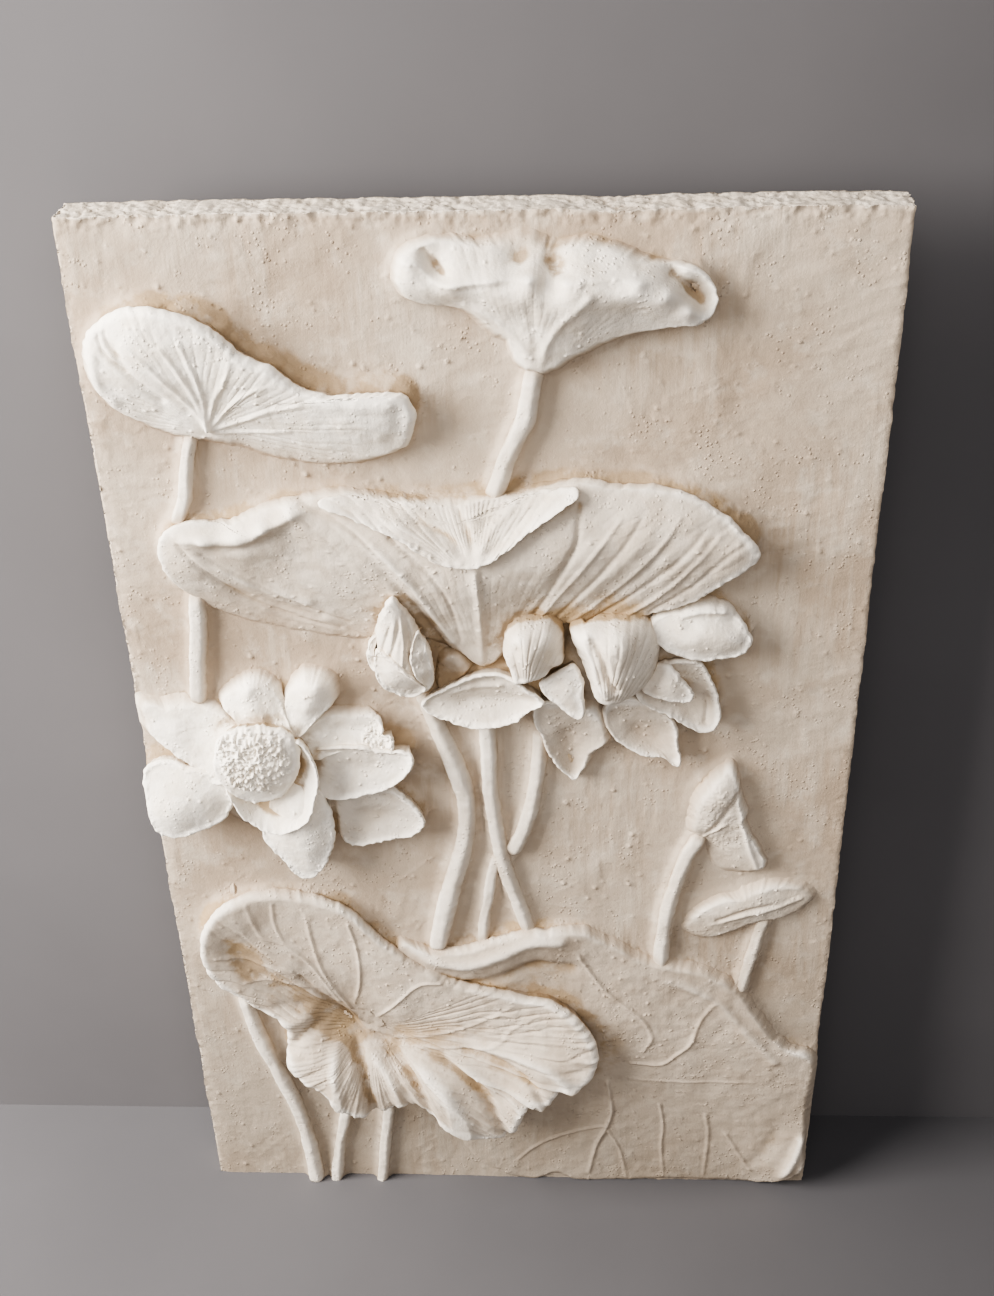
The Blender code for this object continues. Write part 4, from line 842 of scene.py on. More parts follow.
def crumbled(x, z, place, reach, tall, size):
    """Broken, crumbly plaster around a place."""
    off = np.hypot((x - place[0]) / reach[0], (z - place[1]) / reach[1])
    mask = 1.0 - step(0.8, 1.05, off + 0.12 * noise(x, z, 8.0, 13))
    rough = np.abs(noise(x, z, size, 15)) + 0.7 * np.abs(noise(x + 3, z, size * 0.6, 17)) - 0.35
    return tall * mask * rough * 1.6


def detailed_surface(name):
    """The form's height with its carved lines, grooves and the unevenness of hand work."""
    base = form_surface(name)
    folds = carved(FOLDS, name)

    def height(x, z):
        found = base(x, z)
        if name in RAYS:
            found = found + grooves(name, x, z)
        found = found + 1.1 * layered(x, z, 34.0, 11) + 0.6 * layered(x, z, 9.0, 23)
        found = found + lumps(x, z, 5.0, 8.0, 0.20, 1.1, 1.2)
        if name in CRUMBLY:
            at, reach, tall, size = CRUMBLY[name]
            found = found + crumbled(x, z, placed(name, [at])[0], reach, tall, size)
        for width, rise, path in folds:
            off, along = off_line(x, z, path)
            found = found + rise * np.exp(-((off / width) ** 2) * LINE_SHARP) * step(0.0, 0.3, along)
        return found

    return height


def new_object(name, points, faces, smooth=True):
    """An object from points in millimetres given as x, height out, z, and which of its faces are smooth."""
    out = np.array(points, float)
    out[:, 0] = np.clip(out[:, 0], ROOM - HALF_WIDE, HALF_WIDE - ROOM)
    out[:, 2] = np.clip(out[:, 2], -HALF_HIGH, HALF_HIGH - ROOM)
    out[:, 1] = np.minimum(out[:, 1], HIGHEST)
    at = np.column_stack([out[:, 0], -(SLAB_THICK + out[:, 1]), out[:, 2]]) * MM
    faces = np.array(faces, np.int32)
    mesh = bpy.data.meshes.new(name)
    mesh.vertices.add(len(at))
    mesh.vertices.foreach_set("co", at.astype(np.float32).ravel())
    mesh.loops.add(faces.size)
    mesh.loops.foreach_set("vertex_index", faces.ravel())
    mesh.polygons.add(len(faces))
    mesh.polygons.foreach_set("loop_start", np.arange(len(faces), dtype=np.int32) * faces.shape[1])
    mesh.polygons.foreach_set("loop_total", np.full(len(faces), faces.shape[1], np.int32))
    mesh.update(calc_edges=True)
    mesh.validate()
    mesh.polygons.foreach_set("use_smooth", np.full(len(mesh.polygons), smooth, bool))
    made = bpy.data.objects.new(name, mesh)
    bpy.context.scene.collection.objects.link(made)
    return made


def ring_faces(rings, around):
    """Quads between rings that each hold the same number of points."""
    ring = np.arange(rings - 1)[:, None] * around
    i = np.arange(around)[None, :]
    j = (i + 1) % around
    return np.stack([ring + i, ring + j, ring + around + j, ring + around + i], axis=2).reshape(-1, 4)


def outward_of(rim):
    """Unit normals of a closed loop, pointing out of it."""
    tangent = np.roll(rim[:, :2], -1, axis=0) - np.roll(rim[:, :2], 1, axis=0)
    outward = np.column_stack([tangent[:, 1], -tangent[:, 0]])
    outward /= np.hypot(*outward.T)[:, None] + 1e-9
    area = np.sum(rim[:, 0] * np.roll(rim[:, 1], -1) - np.roll(rim[:, 0], -1) * rim[:, 1])
    return outward if area > 0 else -outward


def tucked(rim, middle, hub):
    """The rim, reaching further and lower towards its flower's middle, to end under the other petals."""
    spoke = rim[:, :2] - middle
    towards = np.array(hub, float) - middle
    towards /= np.hypot(*towards)
    share = np.maximum(spoke @ towards / np.hypot(*spoke.T), 0.0) ** 2
    moved = rim.copy()
    moved[:, :2] += TUCK_REACH * share[:, None] * towards
    moved[:, 2] -= TUCK_DROP * share
    return moved


def form_points(name):
    """Points of a leaf or petal in rings: its face, a rounded rim and a side tucked in below the ground."""
    form = FORMS[name]
    rough = smooth_loop(placed(name, form["rim"]), ROUGH_RIM)
    girth = np.sum(np.hypot(*np.diff(rough[:, :2], axis=0).T))
    spacing = float(np.clip(girth / 260.0, 0.8, SPACING))
    around = int(np.clip(girth / spacing, 90, 900))
    rim = smooth_loop(placed(name, form["rim"]), around)
    outward = outward_of(rim)
    uneven = 0.8 * layered(rim[:, 0], rim[:, 1], 13.0, 41) + 0.7 * noise(rim[:, 0], rim[:, 1], 3.6, 43)
    rim[:, :2] += outward * uneven[:, None]
    middle = np.array(form["middle"], float)
    for hub, petals in TUCKED.items():
        if name in petals:
            rim = tucked(rim, middle, hub)
    height = detailed_surface(name)
    soft, edge = edge_of(name, rim)
    rim[:, :2] += outward * (SOFT_SPREAD * soft)[:, None]
    spoke = rim[:, :2] - middle
    reach = np.hypot(*spoke.T)
    waves = ruffled(name, rim, middle)
    rings = int(np.clip(np.percentile(reach, 70) / spacing, 14, 110))
    start = 1.0 - np.minimum(edge / reach, 0.6)
    shares = [start * share for share in np.linspace(0.0, 1.0, rings + 1)[1:]]
    shares += [1.0 - (1.0 - start) * share for share in RIM_SHARES]
    points = []
    for share in shares:
        at = middle + spoke * share[:, None]
        face = height(at[:, 0], at[:, 1]) + waves * share**2
        off = reach * (1.0 - share)
        face = edged(name, face, off, soft, edge)
        nicks = np.maximum(noise(at[:, 0], at[:, 1], 2.7, 301), 0.0)
        nicks = nicks - 0.7 * np.maximum(noise(at[:, 0], at[:, 1], 5.0, 303), 0.0)
        nicks = nicks * np.exp(-(((off - 2.5) / 3.0) ** 2)) * (1.0 - soft)
        face = face + 1.1 * nicks * np.minimum(3.0 / edge, 1.0)
        points.append(np.column_stack([at[:, 0], np.maximum(face, -SUNK / 2), at[:, 1]]))
    edge_line = points[-1]
    for share in BELOW_SHARES:
        tuck = UNDERCUT * np.maximum(rim[:, 2], 0.0) * (1.0 - soft) * share**0.7
        at = rim[:, :2] - outward * tuck[:, None]
        points.append(np.column_stack([at[:, 0], edge_line[:, 1] * (1 - share) - SUNK * share, at[:, 1]]))
    return np.array(points), middle, float(height(*middle[:, None])[0])


def form_piece(name):
    """A leaf or petal as one open shell, sunk into the ground all round."""
    rings, middle, top = form_points(name)
    count, around = rings.shape[:2]
    faces = ring_faces(count, around)
    points = np.concatenate([rings.reshape(-1, 3), [[middle[0], top, middle[1]]]])
    centre = len(points) - 1
    i = np.arange(0, around, 2)
    fan = np.column_stack([np.full(len(i), centre), (i + 2) % around, (i + 1) % around, i])
    if around % 2:
        fan[-1] = (centre, 0, around - 1, around - 1)
        fan = fan[:-1]
    return new_object("fine_" + name, points, np.concatenate([faces, fan]))


def stem_line(name):
    """A stem's middle line, run on a little at both ends, how full it is there, and how long it is so far."""
    rows = np.array(STEMS[name][1], float)
    first, last = rows[0] - rows[1], rows[-1] - rows[-2]
    before = rows[0] + first / np.hypot(*first) * RUN_ON
    after = rows[-1] + last / np.hypot(*last) * RUN_ON
    rows = [(x, z, 0.0) for x, z in [before, *rows, after]]
    rough = smooth_loop(rows, PATH_POINTS, closed=False)
    length = np.sum(np.hypot(*np.diff(rough[:, :2], axis=0).T))
    line = smooth_loop(rows, int(length / STEM_SPACING), closed=False)
    run = np.linspace(0.0, length, len(line))
    ends = step(0.0, RUN_ON * 1.4, run) * step(0.0, RUN_ON * 1.4, length - run)
    return line[:, :2], ends, run


def stem_piece(name):
    """A round stem half sunk in the ground, uneven as if rolled by hand."""
    wide, tall = STEMS[name][0]
    line, ends, run = stem_line(name)
    ahead = np.gradient(line, axis=0)
    side = np.column_stack([-ahead[:, 1], ahead[:, 0]]) / np.hypot(*ahead.T)[:, None]
    angles = np.linspace(0.0, 2 * np.pi, STEM_AROUND, endpoint=False)
    seed = sum(map(ord, name))
    run, ends = run[:, None], ends[:, None]
    uneven = 1 + 0.10 * noise(run, run * 0, 24.0, seed) + 0.05 * noise(run, angles[None] * 9, 6.0, seed)
    radius = wide / 2 * uneven
    radius = radius + 0.3 * np.cos(angles * 5 + 1.6 * noise(run, run * 0, 30.0, seed))
    radius = radius + 0.25 * noise(run, angles[None] * 4, 2.6, seed + 3)
    radius = 1.08 * radius * (0.72 + 0.28 * ends)
    x = line[:, :1] + side[:, :1] * np.cos(angles) * radius
    z = line[:, 1:2] + side[:, 1:] * np.cos(angles) * radius
    out = tall - wide / 2 - STEM_DROP * (1 - ends) + np.sin(angles) * radius
    points = np.stack([x, out, z], axis=2).reshape(-1, 3)
    return new_object("fine_stem_" + name, points, ring_faces(len(line), STEM_AROUND))


RASTER_X = np.arange(-HALF_WIDE, HALF_WIDE + CELL, CELL)
RASTER_Z = np.arange(-HALF_HIGH, HALF_HIGH + CELL, CELL)


def inside_loop(x, z, loop):
    """Which points lie inside a closed loop."""
    found = np.zeros(x.shape, bool)
    ends = np.roll(loop, -1, axis=0)
    for (ax, az), (bx, bz) in zip(loop, ends):
        if az == bz:
            continue
        crosses = (az > z) != (bz > z)
        found ^= crosses & (x < ax + (z - az) * (bx - ax) / (bz - az))
    return found


def relief_raster():
    """Grids of the forms' height over the ground, of the fillet at their foot, and of where they hide it."""
    x, z = np.meshgrid(RASTER_X, RASTER_Z)
    tall, foot, covered = np.zeros(x.shape), np.zeros(x.shape), np.zeros(x.shape, bool)
    for name, form in FORMS.items():
        rim = smooth_loop(placed(name, form["rim"]), RASTER_RIM)
        soft, edge = edge_of(name, rim)
        rim[:, :2] += outward_of(rim) * (SOFT_SPREAD * soft)[:, None]
        i0, i1 = np.searchsorted(RASTER_X, (rim[:, 0].min() - 10, rim[:, 0].max() + 10))
        k0, k1 = np.searchsorted(RASTER_Z, (rim[:, 1].min() - 10, rim[:, 1].max() + 10))
        part = (slice(k0, k1 + 1), slice(i0, i1 + 1))
        px, pz = x[part], z[part]
        off = np.full(px.shape, FAR)
        nearest = np.zeros(px.shape, int)
        for n, (rx, rz, _) in enumerate(rim):
            away = (px - rx) ** 2 + (pz - rz) ** 2
            nearest = np.where(away < off, n, nearest)
            off = np.minimum(off, away)
        off = np.sqrt(off)
        within = inside_loop(px, pz, rim[:, :2])
        height = edged(name, form_surface(name)(px, pz), off, soft[nearest], edge[nearest])
        tall[part] = np.where(within, np.maximum(tall[part], height), tall[part])
        covered[part] |= within & (off > 12.0) & (height > 4.0)
        fillet = np.where(within, 3.0, 3.0 * np.exp(-((off / 2.4) ** 2))) * (1.0 - soft[nearest])
        foot[part] = np.maximum(foot[part], fillet)
    for name, ((wide, high), _) in STEMS.items():
        if name in BARE_STEMS:
            continue
        line, ends, _ = stem_line(name)
        off, along = off_line(x, z, line)
        full = np.interp(along, np.linspace(0, 1, len(ends)), ends)
        width = wide / 2 * (0.7 + 0.3 * full)
        high = high - STEM_DROP * (1.0 - full)
        round_top = high * np.sqrt(np.maximum(1 - (off / width) ** 2, 0))
        tall = np.maximum(tall, np.where(off < width, round_top, 0))
        foot = np.maximum(foot, 3.4 * np.exp(-((np.maximum(off - width, 0) / 3.2) ** 2)) * (high > 4))
    return tall, foot, covered


def blurred(field, reach):
    """A field smoothed by a bell of the given reach in millimetres."""
    half = int(3 * reach / CELL)
    weights = np.exp(-0.5 * (np.arange(-half, half + 1) * CELL / reach) ** 2)
    weights /= weights.sum()
    padded = np.pad(field, half, mode="edge")
    rows = np.apply_along_axis(lambda row: np.convolve(row, weights, "valid"), 1, padded)
    return np.apply_along_axis(lambda column: np.convolve(column, weights, "valid"), 0, rows)


def sampled(field, x, z):
    """The field's value at any point."""
    i = np.clip((x - RASTER_X[0]) / CELL, 0, len(RASTER_X) - 1.001)
    k = np.clip((z - RASTER_Z[0]) / CELL, 0, len(RASTER_Z) - 1.001)
    i0, k0 = i.astype(int), k.astype(int)
    u, v = i - i0, k - k0
    low = field[k0, i0] * (1 - u) + field[k0, i0 + 1] * u
    high = field[k0 + 1, i0] * (1 - u) + field[k0 + 1, i0 + 1] * u
    return low * (1 - v) + high * v


TALL, FOOT, COVERED = relief_raster()
NEAR = blurred(TALL, 5.0)
WIDE = blurred(TALL, 11.0)
BROAD = blurred(TALL, 26.0)
SKIRT = blurred(np.minimum(TALL, 26.0), 6.0)


def lumps(x, z, seed, cell, share, size, tall):
    """Small crumbs of plaster scattered about."""
    i, k = np.floor(x / cell), np.floor(z / cell)
    best = np.zeros_like(x)
    for di in (-1, 0, 1):
        for dk in (-1, 0, 1):
            a, b = i + di, k + dk
            first = np.sin(a * 12.9898 + b * 78.233 + seed) * 43758.5453
            second = np.sin(a * 39.3467 + b * 11.135 + seed) * 24634.6345
            third = np.sin(a * 73.156 + b * 52.235 + seed) * 14375.5964
            first, second, third = (value - np.floor(value) for value in (first, second, third))
            cx, cz = (a + first) * cell, (b + second) * cell
            off = np.hypot(x - cx, z - cz) / (size * (0.6 + 0.7 * first))
            best = np.maximum(best, (third < share) * tall * (0.5 + second) * np.exp(-(off**2) * 1.5))
    return best


def turned(x, z, degrees):
    """The points' places on axes turned by an angle."""
    turn = math.radians(degrees)
    return x * math.cos(turn) + z * math.sin(turn), -x * math.sin(turn) + z * math.cos(turn)


def strokes(x, z):
    """Brush and trowel strokes that run in a few directions."""
    total = 0.0
    for k, angle in enumerate((15.0, 78.0, -40.0, 125.0)):
        u, v = turned(x, z, angle)
        v = v + 6.0 * noise(x, z, 60.0, 31 + k)
        mask = step(0.0, 0.5, noise(x, z, 85.0, 51 + k))
        fine = 0.16 * noise(u * 0.12, v, 3.4, 71 + k) + 0.16 * noise(u * 0.1, v, 8.0, 75 + k)
        total = total + mask * fine
    return total


def scratches(x, z):
    """Thin raised lines that a spatula leaves, here and there."""
    total = 0.0
    for k, angle in enumerate((35.0, -25.0, 100.0)):
        u, v = turned(x, z, angle)
        v = v + 9.0 * noise(x, z, 45.0, 131 + k)
        line = np.maximum(1.0 - np.abs(noise(u * 0.14, v, 9.0, 141 + k)) / 0.16, 0.0)
        mask = step(0.25, 0.6, noise(x, z, 26.0, 151 + k))
        total = total + 0.5 * line * mask * (0.6 + 0.6 * noise(x, z, 5.0, 161 + k))
    return total


def ground_height(x, z):
    """The slab's face: trowel swirls, crumbs, and plaster worked up against the forms."""
    warp_x = x + 22 * noise(x, z, 70.0, 51)
    warp_z = z + 22 * noise(x, z, 70.0, 53)
    swirl = 1.0 * layered(warp_x, warp_z, 34.0, 61) + 0.9 * layered(x, z, 130.0, 67, layers=2)
    near_forms = step(0.8, 5.0, sampled(WIDE, x, z))
    crumbs = lumps(x, z, 1.0, 15.0, 0.10 + 0.25 * near_forms, 1.7, 1.7)
    crumbs = crumbs + lumps(x, z, 2.0, 6.0, 0.10 + 0.22 * near_forms, 1.0, 0.9)
    foot = sampled(FOOT, x, z) * (1.0 + 0.4 * noise(x, z, 7.0, 33))
    skirt = 0.30 * sampled(SKIRT, x, z)
    top = step(482.0, 500.0, z)
    left = step(-288.0, -300.0, x)
    right = step(292.0, 299.0, x)
    broken = 2.0 * layered(x, z, 7.0, 83) + 1.5 * np.abs(noise(x, z, 3.4, 85))
    rough = (top + 0.5 * left + 0.4 * right) * broken
    down = 1.8 * step(293.0, 302.0, x) ** 2 + 1.6 * left + 1.4 * top
    return swirl + strokes(x, z) + scratches(x, z) + crumbs + foot + skirt + rough - down


def edge_in(along, seed):
    """How far the slab's edge lies inside its box at a place along it."""
    wave = 1.3 * noise(along, along * 0, 48.0, seed) + 0.8 * noise(along, along * 0, 10.0, seed + 1)
    return np.maximum(1.3 + 0.8 * wave + 0.5 * noise(along, along * 0, 3.5, seed + 2), 0.1)


def border(x, z):
    """Moves the outermost ground points in to the slab's wavy edge."""
    x = np.where(x <= ROOM - HALF_WIDE, edge_in(z, 91) - HALF_WIDE, x)
    x = np.where(x >= HALF_WIDE - ROOM, HALF_WIDE - edge_in(z, 93) * 0.6, x)
    z = np.where(z >= HALF_HIGH - ROOM, HALF_HIGH - edge_in(x, 95), z)
    return x, z


def ground_tiles():
    """The ground in two tiles that overlap a little, left out where a form covers it for sure."""
    xs = np.arange(-HALF_WIDE, HALF_WIDE + 0.01, GROUND_SPACING)
    tiles = []
    for name, low, high in (("lower", -HALF_HIGH, 2 * GROUND_SPACING), ("upper", 0.0, HALF_HIGH)):
        zs = np.arange(low, high + 0.01, GROUND_SPACING)
        zs[-1] = high
        grid_x, grid_z = np.meshgrid(xs, zs)
        edge_x, edge_z = border(grid_x, grid_z)
        out = ground_height(grid_x, grid_z)
        rows, columns = grid_x.shape
        points = np.stack([edge_x, out, edge_z], axis=2).reshape(-1, 3)
        k, i = np.mgrid[0 : rows - 1, 0 : columns - 1]
        a = (k * columns + i).ravel()
        faces = np.column_stack([a, a + 1, a + columns + 1, a + columns])
        middle = points[faces].mean(axis=1)
        keep = sampled(COVERED.astype(float), middle[:, 0], middle[:, 2]) < 0.98
        faces = faces[keep]
        used = np.unique(faces)
        index = np.full(len(points), -1)
        index[used] = np.arange(len(used))
        tiles.append(new_object("fine_ground_" + name, points[used], index[faces]))
    return tiles


def slab_sides():
    """The slab's four sides and its back, the top one rough and crumbling."""
    wide, high = HALF_WIDE, HALF_HIGH
    corners = [(-wide, -high), (wide, -high), (wide, high), (-wide, high)]
    loop = []
    for (ax, az), (bx, bz) in zip(corners, corners[1:] + corners[:1]):
        count = int(math.hypot(bx - ax, bz - az) / SIDE_SPACING)
        loop += [(ax + (bx - ax) * n / count, az + (bz - az) * n / count) for n in range(count)]
    loop = np.array(loop, float)
    face_x, face_z = border(loop[:, 0], loop[:, 1])
    front = ground_height(loop[:, 0], loop[:, 1])
    outward = outward_of(np.column_stack([loop, loop[:, 0] * 0]))
    on_top = step(499.0, 499.9, loop[:, 1])
    inner_x, inner_z = face_x - outward[:, 0] * 3.0, face_z - outward[:, 1] * 3.0
    rings = [np.column_stack([inner_x, ground_height(inner_x, inner_z) - 0.7, inner_z])]
    for depth in np.linspace(0.0, 1.0, SIDE_ROWS):
        back = depth * SLAB_THICK + loop[:, 0] * 0
        bumps = layered(loop[:, 0] + loop[:, 1], back, 9.0, 97)
        crumble = np.abs(noise(loop[:, 0], back, 4.0, 99))
        fine = noise(loop[:, 0], back, 2.4, 101)
        dent = 0.6 + 0.6 * bumps + on_top * (-1.0 + 2.2 * crumble + 1.4 * bumps + 0.6 * fine)
        swell = min(depth * 12.0, 1.0) * min((1.0 - depth) * 8.0, 1.0)
        x = face_x - outward[:, 0] * dent * swell
        z = np.clip(face_z - outward[:, 1] * dent * swell, -HALF_HIGH, HALF_HIGH - ROOM)
        rings.append(np.column_stack([x, front * (1 - depth) ** 2 - SLAB_THICK * depth, z]))
    around = len(loop)
    points = np.concatenate(rings + [[[0.0, -SLAB_THICK, 0.0]]])
    faces = ring_faces(len(rings), around)
    centre, last = len(points) - 1, (len(rings) - 1) * around
    i = np.arange(0, around - 1, 2)
    fan = np.column_stack([np.full(len(i), centre), last + i, last + i + 1, last + (i + 2) % around])
    smooth = np.arange(len(faces) + len(fan)) < len(faces)
    return new_object("fine_slab", points, np.concatenate([faces, fan]), smooth)


def triangles_of(mesh):
    """How many triangles a mesh has once its faces are split up."""
    return len(mesh.loops) - 2 * len(mesh.polygons)


def thin_out(pieces):
    """Leaves out triangles where the surface hardly bends, down to the most in all, and keeps to the box."""
    share = MOST_TRIANGLES / sum(triangles_of(piece.data) for piece in pieces)
    for piece in pieces:
        piece.modifiers.new("thin", "DECIMATE").ratio = share
    graph = bpy.context.evaluated_depsgraph_get()
    thin = [bpy.data.meshes.new_from_object(piece.evaluated_get(graph)) for piece in pieces]
    for piece, mesh in zip(pieces, thin):
        piece.modifiers.clear()
        piece.data = mesh
        place = np.empty(len(mesh.vertices) * 3, np.float32)
        mesh.vertices.foreach_get("co", place)
        place = np.clip(place.reshape(-1, 3), BOX_LOW, BOX_HIGH).astype(np.float32)
        mesh.vertices.foreach_set("co", place.ravel())
        mesh.update()


def add_patina_and_shade(made):
    """Writes the brown dirt with painted shade in creases, in hollows and just above the forms, how proud
    each point stands with painted light on the slab's top and sides, how far it stands above its
    surroundings, and how pale its form is.
    """
    form = made.name.replace("fine_", "")
    usual = next((pale for part, pale in PIECE_PALENESS.items() if part in form), FORM_PALENESS)
    pale = PALENESS.get(form, usual)
    mesh = made.data
    place = np.empty(len(mesh.vertices) * 3, np.float32)
    mesh.vertices.foreach_get("co", place)
    place = place.reshape(-1, 3).astype(float) / MM
    x, out, z = place[:, 0], -place[:, 1] - SLAB_THICK, place[:, 2]
    # Brown dirt with painted shade: darker where the forms around stand higher, in broad hollows and in
    # creases.
    near = sampled(NEAR, x, z) - out
    wide = sampled(WIDE, x, z) - out
    # Painted shadow: darker just above a form, where its shadow falls.
    above = np.clip((sampled(NEAR, x, z - 7) - sampled(NEAR, x, z + 7)) / 9.0, -1.0, 1.0)
    deep = np.clip((0.075 * near + 0.03 * wide) * (0.75 + 0.9 * above), 0.0, 1.0)
    bowl = (sampled(BROAD, x, z) - out) * step(3.0, 6.0, out) / (17.0 if form == "leaf_j" else 22.0)
    crease = 0.05 * np.clip(near - 0.6, 0.0, 4.0) * (out > 4)
    # Petals, boats and beds get less of the painted shade and dirt.
    shade_and_dirt_share = 0.35 if form.startswith(("petal", "boat", "bed")) else 1.0
    deep = np.clip(shade_and_dirt_share * (np.maximum(deep, 0.0) + np.clip(bowl, 0.0, 0.7) + crease), 0.0, 1.0)
    proud_and_lit = np.clip((out - 3.0) / 9.0, 0.0, 1.0)
    # Painted light: the slab's top face and its sides are painted paler, as if lit.
    proud_and_lit = np.maximum(proud_and_lit, 0.9 * np.maximum(step(495.0, 498.0, z), 0.6 * step(294.0, 298.0, np.abs(x))))
    deep = np.where(out < -3.0, 0.1, deep)
    proud_and_lit = np.where(out < 0.2 - SLAB_THICK, 0.4, proud_and_lit)
    # The third value grows where a point stands above its surroundings.
    colours = np.column_stack([deep, proud_and_lit, np.clip(0.5 - 0.06 * near, 0, 1), np.full(len(x), pale)])
    layer = mesh.attributes.new("patina", "FLOAT_COLOR", "POINT")
    layer.data.foreach_set("color", colours.astype(np.float32).ravel())


class Paint:
    """A material, with short ways to add nodes to it."""

    def __init__(self, name, seed=0.0):
        self.material = bpy.data.materials.new(name)
        self.material.use_nodes = True
        self.tree = self.material.node_tree
        self.tree.nodes.clear()
        self.seed = seed
        self.place = self.node("TexCoord", {}).outputs["Object"]

    def node(self, kind, inputs, **settings):
        """A node with its settings, and a value or a link for each of the sockets given."""
        made = self.tree.nodes.new("ShaderNode" + kind)
        for key, value in settings.items():
            setattr(made, key, value)
        for socket, value in inputs.items():
            if isinstance(value, bpy.types.NodeSocket):
                self.tree.links.new(value, made.inputs[socket])
            else:
                made.inputs[socket].default_value = value
        return made

    def texture(self, scale, detail, rough, stretch=(1.0, 1.0, 1.0)):
        """Soft noise over the object."""
        shift = (self.seed, self.seed * 0.37, self.seed * 0.71)
        where = self.node("Mapping", {"Vector": self.place, "Location": shift, "Scale": stretch})
        inputs = {"Vector": where.outputs["Vector"], "Scale": scale, "Detail": detail, "Roughness": rough}
        return self.node("TexNoise", inputs).outputs["Fac"]

    def mixed(self, factor, first, second):
        """Two colours mixed."""
        first, second = ((*value, 1.0) if isinstance(value, tuple) else value for value in (first, second))
        return self.node("Mix", {0: factor, 6: first, 7: second}, data_type="RGBA").outputs[2]

    def mapped(self, value, low, high, to_low=0.0, to_high=1.0, kind="SMOOTHSTEP"):
        """A value's range turned into another range."""
        inputs = {"Value": value, "From Min": low, "From Max": high, "To Min": to_low, "To Max": to_high}
        return self.node("MapRange", inputs, interpolation_type=kind).outputs["Result"]

    def maths(self, operation, first, second):
        """The sum or the product of two values."""
        return self.node("Math", {0: first, 1: second}, operation=operation).outputs[0]

    def finished(self, inputs):
        """The material, its surface made with these inputs."""
        surface = self.node("BsdfPrincipled", inputs)
        self.node("OutputMaterial", {"Surface": surface.outputs["BSDF"]})
        return self.material


def plaster(name, seed):
    """Aged plaster: pale where it stands proud, with painted light on the slab's top and sides, beige on the
    ground with painted shade towards the bottom, and brown dirt with painted shade in creases.
    """
    paint = Paint(name, seed)
    texture, mapped, mixed, maths = paint.texture, paint.mapped, paint.mixed, paint.maths
    patina = paint.node("Attribute", {}, attribute_name="patina")
    split = paint.node("SeparateColor", {"Color": patina.outputs["Color"]})
    deep, proud_and_lit, above_surroundings = (split.outputs[key] for key in ("Red", "Green", "Blue"))
    up = paint.node("SeparateXYZ", {"Vector": paint.place}).outputs["Z"]
    cloud = texture(9.0, 4.0, 0.55)
    mottle = texture(42.0, 5.0, 0.6)
    brushed = texture(75.0, 4.0, 0.6, stretch=(0.45, 1.0, 1.0))
    fine = texture(420.0, 4.0, 0.65)
    grain = texture(1500.0, 2.0, 0.5)
    lumpy = texture(150.0, 3.0, 0.6)
    streaks = texture(120.0, 4.0, 0.6, stretch=(1.0, 1.0, 0.12))
    streaks = maths("MULTIPLY", streaks, mapped(texture(7.0, 2.0, 0.5), 0.4, 0.6, 0.3, 1.0))

    ground = mixed(mapped(cloud, 0.35, 0.65), *GROUND_COLOURS)
    ground = mixed(mapped(mottle, 0.5, 0.72, 0.0, 0.4), ground, MOTTLED_COLOUR)
    ground = mixed(mapped(streaks, 0.36, 0.6, 0.0, 0.3), ground, STREAK_COLOUR)
    # Painted shade: the ground darkens towards the bottom.
    ground = mixed(mapped(up, -0.45, 0.0, 0.45, 0.0), ground, LOW_SHADE_COLOUR)
    dull = mixed(mapped(mottle, 0.4, 0.65), *DULL_COLOURS)
    pale = mixed(mapped(mottle, 0.4, 0.65), *PALE_COLOURS)
    # Pale where a form stands proud, and on the slab's top and sides as painted light.
    base = mixed(proud_and_lit, ground, mixed(patina.outputs["Alpha"], dull, pale))
    # Paler where a point stands above its surroundings.
    base = mixed(mapped(above_surroundings, 0.54, 0.9, 0.0, 0.6), base, RIDGE_COLOUR)
    # Brown dirt and painted shade, mottled, with an ochre tint in patches.
    mottled_dirt_and_shade = maths("MULTIPLY", deep, mapped(mottle, 0.35, 0.68, 0.35, 1.35))
    base = mixed(mapped(mottled_dirt_and_shade, 0.12, 0.7, 0.0, 0.85), base, DIRT_AND_SHADE_COLOUR)
    ochre = maths("MULTIPLY", mapped(cloud, 0.5, 0.62, 0.0, 0.25), mapped(mottled_dirt_and_shade, 0.1, 0.5))
    base = mixed(ochre, base, OCHRE_COLOUR)

    dots = paint.node("TexVoronoi", {"Vector": paint.place, "Scale": 230.0})
    crumbs = mapped(dots.outputs["Distance"], 0.12, 0.34, 1.0, 0.0)
    crumbs = maths("MULTIPLY", crumbs, mapped(texture(34.0, 3.0, 0.6), 0.5, 0.62))
    height = maths("MULTIPLY", brushed, 0.8)
    for part, share in ((fine, 0.4), (streaks, 0.9), (lumpy, 0.35), (grain, 0.16), (crumbs, 0.8)):
        height = maths("ADD", height, maths("MULTIPLY", part, share))
    bump = paint.node("Bump", {"Height": height, "Strength": 0.6, "Distance": 0.0013})
    return paint.finished(
        {
            "Base Color": base,
            "Roughness": mapped(fine, 0.3, 0.7, 0.86, 0.66),
            "Specular IOR Level": 0.25,
            "Normal": bump.outputs["Normal"],
        }
    )


